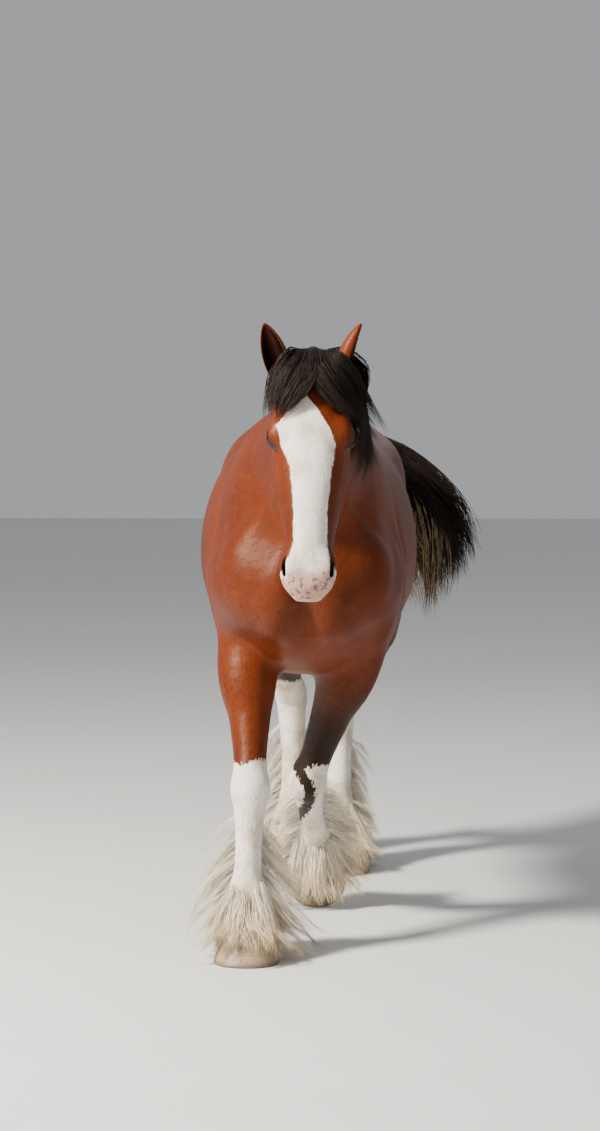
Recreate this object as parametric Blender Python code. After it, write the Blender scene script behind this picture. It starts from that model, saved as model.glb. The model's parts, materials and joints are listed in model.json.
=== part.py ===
"""A life-size Clydesdale horse at the walk, as a still museum model.

Metres, +Z up. The horse faces -Y, its left side is +X, and the floor is Z = 0.
The flesh is one smooth field, a blend of a trunk, a neck, a head and four limbs.
Each node is meshed from that field and parted from its neighbours by a thin cut.
"""

import math
import random

import bmesh
import bpy
import numpy as np
from mathutils import Matrix, Vector

# Driving dimensions
WITHERS_HEIGHT = 1.74
HEAD_LENGTH = 0.74
FACE_TILT = math.radians(25)  # of the face from upright
POLL = Vector((0.029, -1.20, 1.862))
EYE_RADIUS = 0.0235
GAP = 0.0003  # between nodes that touch
FRAME_SHIFT = Vector((-0.0986, 0.135, 0.0))  # puts the origin under the middle of the box

# Mesh sizes
BODY_STEP = 0.014
HEAD_STEP = 0.0045
BAND = 4  # fine cells to a coarse one

SIDES = {"right": -1, "left": 1}

# The trunk, from breast to buttock: y, top, floor, level of greatest width, half width there, how
# full the section is above that level and below it
TRUNK = {
    "breast": (-0.89, 1.30, 1.10, 1.18, 0.06, 2.0, 2.0),
    "shoulder": (-0.80, 1.44, 0.97, 1.17, 0.175, 2.0, 2.2),
    "arm": (-0.64, 1.59, 0.875, 1.16, 0.262, 1.8, 2.3),
    "withers": (-0.42, WITHERS_HEIGHT - 0.005, 0.835, 1.17, 0.300, 1.45, 2.2),
    "girth": (-0.20, 1.70, 0.825, 1.19, 0.335, 1.65, 2.1),
    "barrel": (0.08, 1.662, 0.83, 1.21, 0.366, 2.0, 2.1),
    "loin": (0.34, 1.685, 0.90, 1.27, 0.345, 1.95, 2.1),
    "croup": (0.56, 1.722, 1.00, 1.33, 0.325, 1.85, 2.0),
    "haunch": (0.78, 1.68, 1.08, 1.34, 0.285, 1.9, 2.0),
    "tail_head": (0.93, 1.59, 1.16, 1.35, 0.205, 2.1, 2.0),
    "buttock": (1.01, 1.48, 1.24, 1.36, 0.08, 2.0, 2.0),
}

# The neck along its axis, in the rows of the trunk
NECK_ROOT = Vector((0.0, -0.48, 1.37))
NECK = {
    "root": (0.0, 0.330, -0.330, -0.02, 0.215, 1.8, 2.1),
    "base": (0.239, 0.288, -0.285, -0.03, 0.182, 1.7, 2.1),
    "middle": (0.453, 0.236, -0.208, -0.02, 0.142, 1.7, 2.1),
    "upper": (0.639, 0.180, -0.156, -0.01, 0.116, 1.8, 2.1),
    "poll": (0.771, 0.116, -0.112, 0.0, 0.094, 2.0, 2.0),
    "end": (0.830, 0.060, -0.070, 0.0, 0.060, 2.0, 2.0),
}

# The head along its axis from the poll: face line, jaw line, level of greatest width, half width,
# fullness in front and behind. Heights are in front of the face plane through the poll.
HEAD = {
    "poll": (-0.02, -0.045, -0.165, -0.09, 0.050, 2.0, 2.0),
    "crown": (0.04, 0.008, -0.22, -0.085, 0.083, 2.2, 2.0),
    "temple": (0.13, 0.034, -0.275, -0.075, 0.104, 2.3, 1.9),
    "eye": (0.25, 0.040, -0.305, -0.07, 0.109, 2.4, 1.8),
    "cheek": (0.36, 0.034, -0.255, -0.08, 0.103, 2.3, 1.8),
    "nose": (0.48, 0.024, -0.185, -0.085, 0.086, 2.2, 1.9),
    "bridge": (0.58, 0.012, -0.155, -0.08, 0.070, 2.3, 2.1),
    "nostril": (0.66, -0.004, -0.147, -0.075, 0.070, 2.4, 2.1),
    "lip": (0.715, -0.026, -0.132, -0.08, 0.060, 2.2, 2.1),
    "tip": (HEAD_LENGTH + 0.005, -0.058, -0.108, -0.08, 0.036, 2.0, 2.0),
}

# Joints of the limbs in this stride
FORE = {
    "right": {
        "shoulder": Vector((-0.185, -0.62, 1.16)),
        "elbow": Vector((-0.188, -0.535, 0.99)),
        "knee": Vector((-0.173, -0.80, 0.515)),
        "fetlock": Vector((-0.180, -0.868, 0.205)),
        "toe": Vector((-0.180, -1.035, 0.0)),
        "heel_lift": 0.0,
    },
    "left": {
        "shoulder": Vector((0.185, -0.60, 1.16)),
        "elbow": Vector((0.168, -0.475, 0.98)),
        "knee": Vector((-0.008, -0.325, 0.475)),
        "fetlock": Vector((0.010, -0.070, 0.258)),
        "toe": Vector((0.016, 0.0, 0.0)),
        "heel_lift": math.radians(62),
    },
}
HIND = {
    "right": {
        "hip": Vector((-0.155, 0.70, 1.34)),
        "stifle": Vector((-0.175, 0.50, 0.98)),
        "hock": Vector((-0.098, 0.97, 0.620)),
        "fetlock": Vector((-0.086, 0.975, 0.215)),
        "toe": Vector((-0.080, 0.805, 0.0)),
        "heel_lift": 0.0,
    },
    "left": {
        "hip": Vector((0.155, 0.66, 1.33)),
        "stifle": Vector((0.190, 0.40, 0.955)),
        "hock": Vector((0.086, 0.84, 0.605)),
        "fetlock": Vector((0.082, 0.755, 0.215)),
        "toe": Vector((0.096, 0.59, 0.0)),
        "heel_lift": 0.0,
    },
}

# Half width and half depth of a limb, by its share of the way between two joints
FORE_GIRTHS = (
    ("shoulder", "elbow", 0.0, 0.105, 0.165),
    ("shoulder", "elbow", 0.9, 0.094, 0.140),
    ("elbow", "knee", 0.28, 0.080, 0.102),
    ("elbow", "knee", 0.60, 0.062, 0.072),
    ("elbow", "knee", 0.84, 0.051, 0.057),
    ("elbow", "knee", 1.0, 0.062, 0.061),
    ("knee", "fetlock", 0.16, 0.051, 0.055),
    ("knee", "fetlock", 0.50, 0.041, 0.051),
    ("knee", "fetlock", 0.82, 0.044, 0.054),
    ("knee", "fetlock", 1.0, 0.057, 0.062),
)
HIND_GIRTHS = (
    ("hip", "stifle", 0.35, 0.130, 0.255),
    ("hip", "stifle", 0.95, 0.108, 0.165),
    ("stifle", "hock", 0.30, 0.086, 0.122),
    ("stifle", "hock", 0.62, 0.060, 0.080),
    ("stifle", "hock", 0.85, 0.052, 0.066),
    ("stifle", "hock", 1.0, 0.059, 0.072),
    ("hock", "fetlock", 0.16, 0.052, 0.064),
    ("hock", "fetlock", 0.50, 0.043, 0.054),
    ("hock", "fetlock", 0.82, 0.046, 0.056),
    ("hock", "fetlock", 1.0, 0.058, 0.064),
)
PASTERN_GIRTHS = ((0.45, 0.050, 0.052), (0.90, 0.070, 0.064), (1.25, 0.078, 0.070))

# The hoof in its own frame: toe at the origin, heels towards +Y, sole at Z = 0
HOOF_LENGTH = 0.192
HOOF_WIDTH = 0.200
CORONET_WIDTH = 0.152
CORONET_FRONT = Vector((0.0, 0.066, 0.100))
CORONET_BACK = Vector((0.0, 0.198, 0.052))

TOE_FLAT = 0.0025  # worn off the tip of the lifted toe, so that it stands

# Ears: share of the length, radius of the roll, degrees of it, and how far its middle is behind
EAR_SECTIONS = (
    (0.00, 0.030, 300, 0.000),
    (0.10, 0.033, 290, 0.000),
    (0.28, 0.038, 235, 0.006),
    (0.48, 0.038, 205, 0.010),
    (0.68, 0.031, 190, 0.010),
    (0.84, 0.021, 185, 0.006),
    (0.95, 0.010, 190, 0.002),
    (1.00, 0.004, 200, 0.000),
)
EAR_THICKNESS = 0.006
EARS = {
    "right": ((0.090, 0.066, -0.062), (-0.112, -1.215, 1.940), (-0.25, -1.0, 0.1)),
    "left": ((-0.090, 0.066, -0.062), (0.169, -1.205, 1.938), (0.75, -0.75, 0.1)),
}

# Cuts between the nodes
LEG_CUT = 0.80
NECK_CUT = (0.0, -0.60, 1.80)
NECK_CUT_WAY = (0.0, -0.50, 0.33)

# Hair
CREST = (
    (0.028, -1.155, 1.880),
    (0.020, -1.000, 1.850),
    (0.012, -0.840, 1.812),
    (0.006, -0.680, 1.768),
    (0.002, -0.540, 1.742),
)
DOCK = (
    (0.000, 0.900, 1.500, 0.060, 0.055),
    (0.020, 0.985, 1.560, 0.050, 0.045),
    (0.090, 1.060, 1.585, 0.040, 0.036),
    (0.190, 1.110, 1.580, 0.032, 0.030),
    (0.300, 1.130, 1.535, 0.022, 0.022),
    (0.370, 1.130, 1.480, 0.012, 0.012),
)
TAIL_TIPS = ((0.61, 1.09, 1.17), (0.56, 1.15, 1.04), (0.43, 1.08, 0.92), (0.30, 1.16, 1.00))
MANE_LENGTH = 0.36
FORELOCK_LENGTH = 0.275
FRINGE_LENGTH = 0.135
BLOWN_FEATHER = 1.35  # how much wider the feather of the leading leg is blown
# Share of the way down the cannon, and beyond 1 down the pastern: how far behind, half width, half depth
FEATHER_CORE = (
    (0.40, 0.012, 0.040, 0.044),
    (0.70, 0.026, 0.056, 0.066),
    (0.98, 0.032, 0.076, 0.086),
    (1.45, 0.018, 0.090, 0.096),
    (1.95, 0.006, 0.100, 0.098),
)
MANE_LOCKS = 24
FORELOCK_LOCKS = 14
TAIL_LOCKS = 16
FEATHER_LOCKS = 10
FRINGE_LOCKS = 8
BODY_TRIANGLES = 3700
HEAD_TRIANGLES = 2450


def smooth_min(a, b, k):
    h = np.maximum(k - np.abs(a - b), 0.0) / k
    return np.minimum(a, b) - h * h * k * 0.25


def smooth_profile(places, values):
    """A smooth curve through the values, as a function of place."""
    places = np.asarray(places, float)
    values = np.asarray(values, float)
    slopes = np.gradient(values, places)
    fine = np.linspace(places[0], places[-1], 240)
    span = np.clip(np.searchsorted(places, fine) - 1, 0, len(places) - 2)
    width = places[span + 1] - places[span]
    t = (fine - places[span]) / width
    curve = (
        (2 * t**3 - 3 * t**2 + 1) * values[span]
        + (t**3 - 2 * t**2 + t) * width * slopes[span]
        + (3 * t**2 - 2 * t**3) * values[span + 1]
        + (t**3 - t**2) * width * slopes[span + 1]
    )
    return lambda x: np.interp(x, fine, curve)


def frame_of(origin, along, side=(1, 0, 0)):
    """Origin and the axes side, along and outward of a local frame, as numpy rows."""
    u = Vector(along).normalized()
    s = Vector(side) - u * Vector(side).dot(u)
    s.normalize()
    return np.array(origin, float), np.array([s, u, s.cross(u)], float)


def into(points, frame):
    return (points - frame[0]) @ frame[1].T


def out_of(point, frame):
    return Vector(frame[0] + np.asarray(point, float) @ frame[1])


def span_of(first, second, side):
    """One straight piece of a tube: its centre, reach and distance."""
    a, b = first[:3], second[:3]
    run = b - a
    _, turn = frame_of(a, run, side)
    longest = float(np.linalg.norm(run))

    def distance(p):
        t = np.clip((p - a) @ run / longest**2, 0, 1)
        q = (p - a - t[:, None] * run) @ turn.T
        wide = first[3] + t * (second[3] - first[3])
        deep = first[4] + t * (second[4] - first[4])
        radii = np.stack([wide, np.minimum(wide, deep), deep], 1)
        k0 = np.linalg.norm(q / radii, axis=1)
        k1 = np.linalg.norm(q / radii**2, axis=1) + 1e-9
        return k0 * (k0 - 1.0) / k1

    return (a + b) / 2, max(first[3], first[4], second[3], second[4]) + longest / 2, distance


class Field:
    """Signed distance, roughly, to a blend of round forms: negative inside."""

    REACH = 0.12

    def __init__(self):
        self.forms = []

    def add(self, centre, radius, shape, blend, sign=1):
        self.forms.append((np.array(centre, float), radius, shape, blend, sign))

    def ellipsoid(self, centre, radii, blend, frame=None, sign=1):
        radii = np.array(radii, float)
        if frame is None:
            frame = (np.zeros(3), np.eye(3))
        turn = frame[1]
        middle = np.array(out_of(centre, frame))

        def shape(p):
            q = (p - middle) @ turn.T
            k0 = np.linalg.norm(q / radii, axis=1)
            k1 = np.linalg.norm(q / radii**2, axis=1) + 1e-9
            return k0 * (k0 - 1.0) / k1

        self.add(middle, radii.max(), shape, blend, sign)

    def tube(self, stations, blend, side=(1, 0, 0), sign=1, fine=4):
        """A limb through stations of x, y, z, half width and half depth."""
        rows = np.array(stations, float)
        at = np.arange(len(rows), dtype=float)
        steps = np.linspace(0, len(rows) - 1, (len(rows) - 1) * fine + 1)
        smooth = np.stack([smooth_profile(at, c)(steps) for c in rows.T], 1)
        spans = [span_of(a, b, side) for a, b in zip(smooth[:-1], smooth[1:])]
        middle = smooth[:, :3].mean(0)
        radius = max(np.linalg.norm(c - middle) + r for c, r, _ in spans)

        def shape(p):
            d = np.full(len(p), 1.0)
            for centre, reach, distance in spans:
                near = ((p - centre) ** 2).sum(1) < (reach + self.REACH) ** 2
                if near.any():
                    d[near] = np.minimum(d[near], distance(p[near]))
            return d

        self.add(middle, radius, shape, blend, sign)

    def loft(self, rows, frame, blend):
        """A body along a frame's second axis: place, top, floor, level, half width, fullness above
        and below."""
        table = np.array(list(rows), float)
        place = table[:, 0]
        curves = [smooth_profile(place, c) for c in table.T[1:]]
        half = (place[-1] - place[0]) / 2
        middle = out_of(
            (0, (place[0] + place[-1]) / 2, (table[:, 1].max() + table[:, 2].min()) / 2), frame
        )
        reach = math.hypot(half, (table[:, 1].max() - table[:, 2].min()) / 2) + 0.05

        def shape(p):
            q = into(p, frame)
            along = np.clip(q[:, 1], place[0], place[-1])
            top, floor, level, wide, above, below = (c(along) for c in curves)
            rise = q[:, 2] - level
            tall = np.where(rise > 0, top - level, level - floor)
            power = np.where(rise > 0, above, below)
            x = np.abs(q[:, 0]) / wide + 1e-6
            z = np.abs(rise) / tall + 1e-6
            k0 = (x**power + z**power) ** (1 / power)
            steep = np.hypot(
                x ** (power - 1) / wide, z ** (power - 1) / tall
            ) * k0 ** (1 - power)
            flat = (k0 - 1.0) / np.maximum(steep, 1e-3)
            beyond = np.abs(q[:, 1] - (place[0] + place[-1]) / 2) - half
            return np.minimum(np.maximum(flat, beyond), 0) + np.hypot(
                np.maximum(flat, 0), np.maximum(beyond, 0)
            )

        self.add(middle, reach, shape, blend)

    def __call__(self, points):
        points = np.asarray(points, float)
        d = np.full(len(points), 1.0)
        for centre, radius, shape, blend, sign in self.forms:
            near = ((points - centre) ** 2).sum(1) < (radius + self.REACH) ** 2
            if not near.any():
                continue
            value = shape(points[near])
            if sign > 0:
                d[near] = smooth_min(d[near], value, blend)
            else:
                d[near] = -smooth_min(-d[near], value, blend)
        return d


def along_leg(leg, girths):
    rows = []
    for start, end, share, wide, deep in girths:
        rows.append((*leg[start].lerp(leg[end], share), wide, deep))
    return rows


def hoof_frame(leg):
    """Places the hoof: its toe on the floor, its heels raised by the leg's heel lift."""
    return Matrix.Translation(leg["toe"]) @ Matrix.Rotation(leg["heel_lift"], 4, "X")


def coronet_of(leg):
    return hoof_frame(leg) @ ((CORONET_FRONT + CORONET_BACK) / 2)


def pastern_rows(leg):
    """The pastern, carried on a little way inside the hoof."""
    end = coronet_of(leg)
    return [
        (*leg["fetlock"].lerp(end, share), wide, deep) for share, wide, deep in PASTERN_GIRTHS
    ]


HEAD_AXIS = Vector((-0.012, -math.sin(FACE_TILT), -math.cos(FACE_TILT)))
HEAD_FRAME = frame_of(POLL, HEAD_AXIS, (-1, 0, 0))
# The frame's third axis points forward, out of the face
EYE = Vector((0.103, 0.270, -0.018))


def add_trunk(field):
    ground = (np.array((-0.012, 0.0, 0.0)), np.eye(3))
    field.loft(TRUNK.values(), ground, 0.05)
    for side in SIDES.values():
        blade = frame_of((side * 0.140, -0.585, 1.36), (0, 0.60, 0.80))
        field.ellipsoid((0, 0, 0), (0.082, 0.29, 0.140), 0.115, blade)
        # Point of the shoulder, breast muscle, upper arm
        field.ellipsoid((side * 0.150, -0.765, 1.175), (0.105, 0.105, 0.130), 0.09)
        field.ellipsoid((side * 0.080, -0.805, 1.12), (0.080, 0.085, 0.140), 0.07)
        field.ellipsoid((side * 0.195, -0.53, 1.14), (0.090, 0.170, 0.150), 0.09)
        # Point of the hip, rump, buttock
        field.ellipsoid((side * 0.222, 0.44, 1.465), (0.060, 0.085, 0.075), 0.11)
        field.ellipsoid((side * 0.110, 0.64, 1.44), (0.145, 0.260, 0.165), 0.09)
        field.ellipsoid((side * 0.105, 0.905, 1.355), (0.105, 0.110, 0.160), 0.08)


def add_neck(field):
    axis = frame_of(NECK_ROOT, POLL - Vector((0, -0.05, 0.11)) - NECK_ROOT, (-1, 0, 0))
    field.loft(NECK.values(), axis, 0.10)


def add_limbs(field):
    for name, leg in FORE.items():
        field.tube(along_leg(leg, FORE_GIRTHS) + pastern_rows(leg), 0.05)
        side = SIDES[name]
        shin = (leg["knee"] - leg["elbow"]).normalized()
        cannon = (leg["fetlock"] - leg["knee"]).normalized()
        back = (Vector((0, 1, 0)) - cannon * cannon.y).normalized()
        # Bone behind the knee, point of the elbow, forearm muscles, ergot
        field.ellipsoid(leg["knee"] + back * 0.048 - cannon * 0.010, (0.030, 0.028, 0.036), 0.03)
        field.ellipsoid(leg["elbow"] + Vector((0, 0.085, 0.045)), (0.050, 0.055, 0.060), 0.06)
        swell = frame_of(leg["elbow"] + shin * 0.13 + Vector((side * 0.012, -0.02, 0)), shin)
        field.ellipsoid((0, 0, 0), (0.078, 0.150, 0.088), 0.05, swell)
        field.ellipsoid(leg["fetlock"] + back * 0.040, (0.036, 0.036, 0.040), 0.03)
    for name, leg in HIND.items():
        side = SIDES[name]
        field.tube(along_leg(leg, HIND_GIRTHS) + pastern_rows(leg), 0.05)
        shin = (leg["hock"] - leg["stifle"]).normalized()
        cannon = (leg["fetlock"] - leg["hock"]).normalized()
        back = (shin - cannon).normalized()
        # Hamstrings down to the gaskin, then the tendon to the point of the hock
        buttock = Vector((side * 0.15, 0.95, 1.15))
        ham = leg["stifle"].lerp(leg["hip"], 0.30).lerp(buttock, 0.50)
        field.tube(
            [
                (side * 0.120, 0.900, 1.34, 0.110, 0.125),
                (*ham, 0.115, 0.130),
                (*(leg["stifle"].lerp(leg["hock"], 0.22) + back * 0.065), 0.078, 0.085),
            ],
            0.08,
        )
        point = leg["hock"] + back * 0.066 - cannon * 0.050
        field.tube(
            [
                (*(leg["stifle"].lerp(leg["hock"], 0.40) + back * 0.060), 0.036, 0.040),
                (*(leg["stifle"].lerp(leg["hock"], 0.70) + back * 0.058), 0.020, 0.024),
                (*point, 0.027, 0.027),
                (*(leg["hock"] + back * 0.040 + cannon * 0.030), 0.030, 0.030),
                (*(leg["hock"] + back * 0.022 + cannon * 0.120), 0.030, 0.030),
            ],
            0.03,
        )
        field.ellipsoid(leg["stifle"] + Vector((0, -0.030, 0.01)), (0.085, 0.085, 0.11), 0.07)
        field.ellipsoid(leg["fetlock"] + back * 0.030, (0.036, 0.036, 0.040), 0.03)


def add_head(field):
    field.loft(HEAD.values(), HEAD_FRAME, 0.035)
    for side in SIDES.values():
        eye = Vector((side * EYE.x, EYE.y, EYE.z))
        # Cheek, brow, cheekbone, muzzle and their hollows
        field.ellipsoid((side * 0.068, 0.225, -0.165), (0.034, 0.125, 0.120), 0.03, HEAD_FRAME)
        brow = eye + Vector((-side * 0.012, -0.012, 0.016))
        field.ellipsoid(brow, (0.030, 0.045, 0.026), 0.03, HEAD_FRAME)
        field.tube(
            [
                (*out_of((side * 0.092, 0.275, -0.055), HEAD_FRAME), 0.014, 0.018),
                (*out_of((side * 0.086, 0.34, -0.072), HEAD_FRAME), 0.013, 0.014),
                (*out_of((side * 0.062, 0.46, -0.075), HEAD_FRAME), 0.010, 0.010),
            ],
            0.025,
        )
        field.ellipsoid((side * 0.048, 0.665, -0.050), (0.030, 0.055, 0.042), 0.03, HEAD_FRAME)
        field.ellipsoid((side * 0.087, 0.155, 0.000), (0.020, 0.040, 0.022), 0.03, HEAD_FRAME, -1)
    field.ellipsoid((0, 0.712, -0.062), (0.048, 0.036, 0.040), 0.03, HEAD_FRAME)
    field.ellipsoid((0, 0.690, -0.128), (0.038, 0.042, 0.030), 0.02, HEAD_FRAME)
    # Bars of the jaw, with the hollow between them
    field.ellipsoid((0, 0.42, -0.240), (0.022, 0.13, 0.050), 0.03, HEAD_FRAME, -1)


def carve_head(field):
    """Cuts the eye sockets between the lids, the nostrils and the line of the mouth."""
    for side in SIDES.values():
        eye = Vector((side * EYE.x, EYE.y, EYE.z))
        field.ellipsoid(eye, (EYE_RADIUS + 0.0055,) * 3, 0.012, HEAD_FRAME)
        lids = frame_of(out_of(eye, HEAD_FRAME), Vector((-side * 0.10, -0.50, -0.86)))
        field.ellipsoid((-side * 0.0225, 0.002, -0.005), (0.022, 0.0215, 0.0145), 0.003, lids, -1)
        field.tube(
            [
                (*out_of((side * 0.068, 0.636, -0.012), HEAD_FRAME), 0.004, 0.006),
                (*out_of((side * 0.068, 0.656, -0.022), HEAD_FRAME), 0.009, 0.010),
                (*out_of((side * 0.059, 0.684, -0.032), HEAD_FRAME), 0.014, 0.014),
                (*out_of((side * 0.042, 0.702, -0.034), HEAD_FRAME), 0.009, 0.010),
            ],
            0.006,
            sign=-1,
        )
        field.tube(
            [
                (*out_of((0, 0.756, -0.103), HEAD_FRAME), 0.012, 0.0050),
                (*out_of((side * 0.034, 0.738, -0.105), HEAD_FRAME), 0.012, 0.0050),
                (*out_of((side * 0.060, 0.690, -0.104), HEAD_FRAME), 0.012, 0.0050),
                (*out_of((side * 0.072, 0.625, -0.098), HEAD_FRAME), 0.010, 0.0040),
            ],
            0.004,
            sign=-1,
        )


def add_feather_core(field):
    """The dense under-hair of the feather, about half way out to the tips of its locks."""
    for legs, upper in ((FORE, "knee"), (HIND, "hock")):
        for leg in legs.values():
            cannon = (leg["fetlock"] - leg[upper]).normalized()
            back = (Vector((0, 1, 0)) - cannon * cannon.y).normalized()
            crown = coronet_of(leg)
            rows = []
            for share, behind, wide, deep in FEATHER_CORE:
                if share < 1:
                    middle = leg[upper].lerp(leg["fetlock"], share)
                else:
                    middle = leg["fetlock"].lerp(crown, share - 1)
                rows.append((*(middle + back * behind), wide, deep))
            field.tube(rows, 0.03)


def add_hooves(field):
    """The hooves as plain forms, for the hair that lies over them."""
    for legs in (FORE, HIND):
        for leg in legs.values():
            ground = hoof_frame(leg) @ Vector((0, HOOF_LENGTH / 2, 0.012))
            crown = coronet_of(leg)
            field.tube([(*crown, 0.080, 0.076), (*ground, 0.100, 0.098)], 0.02)


def horse_field():
    field = Field()
    add_trunk(field)
    add_neck(field)
    add_limbs(field)
    add_feather_core(field)
    add_head(field)
    carve_head(field)
    return field


def grid_of(field, low, high, step):
    """Values of the field on a grid, worked out in full only near the surface."""
    low = np.asarray(low, float)
    cells = np.ceil((np.asarray(high, float) - low) / (step * BAND)).astype(int) * BAND
    coarse = np.stack(
        np.meshgrid(*[np.arange(n // BAND) for n in cells], indexing="ij"), -1
    ).reshape(-1, 3)
    value = field(low + (coarse + 0.5) * step * BAND)
    size = cells + 1
    grid = np.full(size, 1.0)
    near = np.abs(value) < step * BAND * 0.95 + 0.01
    inner = np.arange(BAND)
    blocks = (coarse * BAND)[~near]
    signs = value[~near]
    for i in inner:
        for j in inner:
            for k in inner:
                grid[blocks[:, 0] + i, blocks[:, 1] + j, blocks[:, 2] + k] = signs
    wanted = np.zeros(size, bool)
    blocks = (coarse * BAND)[near]
    for i in range(BAND + 1):
        for j in range(BAND + 1):
            for k in range(BAND + 1):
                wanted[blocks[:, 0] + i, blocks[:, 1] + j, blocks[:, 2] + k] = True
    index = np.argwhere(wanted)
    grid[wanted] = field(low + index * step)
    for axis in range(3):
        face = [slice(None)] * 3
        for end in (0, -1):
            face[axis] = end
            grid[tuple(face)] = np.maximum(grid[tuple(face)], step)
    return grid, low


def surface(field, low, high, step):
    """Points and quads of the field's surface inside a box, closed where the box cuts it."""
    grid, low = grid_of(field, low, high, step)
    inside = grid < 0
    nx, ny, nz = (n - 1 for n in grid.shape)
    total = np.zeros((nx, ny, nz, 3))
    count = np.zeros((nx, ny, nz))
    corners = [(0, 0, 0), (1, 0, 0), (0, 1, 0), (1, 1, 0), (0, 0, 1), (1, 0, 1), (0, 1, 1), (1, 1, 1)]
    for a in corners:
        for b in corners:
            if sum(b) - sum(a) != 1 or any(x > y for x, y in zip(a, b)):
                continue
            va = grid[a[0] : a[0] + nx, a[1] : a[1] + ny, a[2] : a[2] + nz]
            vb = grid[b[0] : b[0] + nx, b[1] : b[1] + ny, b[2] : b[2] + nz]
            crosses = (va < 0) != (vb < 0)
            share = va[crosses] / (va[crosses] - vb[crosses])
            start, end = np.array(a, float), np.array(b, float)
            total[crosses] += start + share[:, None] * (end - start)
            count[crosses] += 1
    used = count > 0
    number = np.full((nx, ny, nz), -1)
    number[used] = np.arange(used.sum())
    points = low + (np.argwhere(used) + total[used] / count[used][:, None]) * step
    quads = []
    for axis in range(3):
        others = [d for d in range(3) if d != axis]
        here = [slice(1, -1)] * 3
        there = [slice(1, -1)] * 3
        here[axis], there[axis] = slice(0, -1), slice(1, None)
        first, second = inside[tuple(here)], inside[tuple(there)]
        at = np.argwhere(first != second)
        flip = first[first != second]
        for d in others:
            at[:, d] += 1
        ring = []
        for back in ((0, 0), (1, 0), (1, 1), (0, 1)):
            cell = at.copy()
            cell[:, others[0]] -= back[0]
            cell[:, others[1]] -= back[1]
            ring.append(number[cell[:, 0], cell[:, 1], cell[:, 2]])
        ring = np.stack(ring, 1)
        if axis == 1:
            flip = ~flip
        ring[flip] = ring[flip][:, ::-1]
        quads.append(ring)
    return points, np.concatenate(quads)


def settle(field, points, rounds=2, small=0.0008):
    """Moves points onto the field's surface."""
    for _ in range(rounds):
        value = field(points)
        slope = np.stack(
            [
                (field(points + np.eye(3)[i] * small) - field(points - np.eye(3)[i] * small))
                / (2 * small)
                for i in range(3)
            ],
            1,
        )
        length = (slope**2).sum(1) + 1e-6
        move = slope * (value / length)[:, None]
        far = np.linalg.norm(move, axis=1)
        points = points - move * np.minimum(1, 0.008 / (far + 1e-9))[:, None]
    return points


def drape(field, roots, headings, lengths, lifts, sag, steps, wave=None, floor=0.006, cling=None):
    """Paths that start inside the skin, leave it along their headings, and then fall over it.

    Each path bends down by its sag and keeps at least its lift above the surface. With a cling it
    comes down to that height over the skin. Returned with the way that faces out at each point.
    """
    points = np.array(roots, float)
    ways = np.array(headings, float)
    ways /= np.linalg.norm(ways, axis=1)[:, None]
    step = (np.asarray(lengths, float) / steps)[:, None]
    lifts = np.asarray(lifts, float)
    sag = np.asarray(sag, float)[:, None]
    path, faces = [points.copy()], []
    slope = slopes(field, points)
    faces.append(slope)
    for i in range(steps):
        ways = ways + sag * np.array([0, 0, -1.0])
        if wave is not None:
            ways = ways + wave[i]
        ways /= np.linalg.norm(ways, axis=1)[:, None]
        moved = points + ways * step
        for _ in range(3):
            distance = field(moved)
            slope = slopes(field, moved)
            short = np.maximum(lifts * (i + 1) / steps + 0.002 - distance, 0)
            if i == 0:
                short *= 0.0
            elif cling is not None:
                short -= np.maximum(distance - cling, 0) * 0.45
            moved = moved + slope * np.clip(short, -0.03, 0.03)[:, None]
        moved[:, 2] = np.maximum(moved[:, 2], floor)
        ways = (moved - points) / np.linalg.norm(moved - points, axis=1)[:, None]
        points = moved
        path.append(points.copy())
        faces.append(slope)
    return np.stack(path, 1), np.stack(faces, 1)


def slopes(field, points, small=0.004):
    """Unit directions in which the field grows."""
    found = np.stack(
        [field(points + np.eye(3)[i] * small) - field(points - np.eye(3)[i] * small) for i in range(3)], 1
    )
    return found / (np.linalg.norm(found, axis=1)[:, None] + 1e-9)


def lock(name, path, faces, width, thickness, taper=0.6):
    """One flat lock: a lens-shaped section, widest below the root and drawn to a point."""
    rings = len(path)
    corners, sides = [], []
    for i in range(rings - 1):
        along = path[min(i + 1, rings - 1)] - path[max(i - 1, 0)]
        along /= np.linalg.norm(along) + 1e-9
        out = faces[i] - along * (faces[i] @ along)
        out /= np.linalg.norm(out) + 1e-9
        across = np.cross(along, out)
        share = i / (rings - 1)
        half = width / 2 * (0.62 + 1.1 * share * (1 - share)) * (1 - share**2 * taper)
        deep = thickness / 2 * (1 - 0.45 * share)
        for side, rise in ((1, 0), (0, 1), (-1, 0), (0, -1)):
            corners.append(path[i] + across * half * side + out * deep * rise)
    corners.append(path[-1])
    for i in range(rings - 2):
        for j in range(4):
            a, b = i * 4 + j, i * 4 + (j + 1) % 4
            sides.append((a, b, b + 4, a + 4))
    last = (rings - 2) * 4
    for j in range(4):
        sides.append((last + j, last + (j + 1) % 4, len(corners) - 1))
    sides.append((3, 2, 1, 0))
    return mesh_object(name, corners, sides)


def mesh_object(name, points, faces):
    mesh = bpy.data.meshes.new(name)
    mesh.from_pydata([tuple(map(float, p)) for p in points], [], [tuple(map(int, f)) for f in faces])
    item = bpy.data.objects.new(name, mesh)
    bpy.context.scene.collection.objects.link(item)
    face_out(item)
    return item


def face_out(item):
    work = bmesh.new()
    work.from_mesh(item.data)
    bmesh.ops.recalc_face_normals(work, faces=work.faces[:])
    work.to_mesh(item.data)
    work.free()


def apply_modifiers(item):
    graph = bpy.context.evaluated_depsgraph_get()
    made = bpy.data.meshes.new_from_object(item.evaluated_get(graph))
    item.modifiers.clear()
    item.data = made


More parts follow.
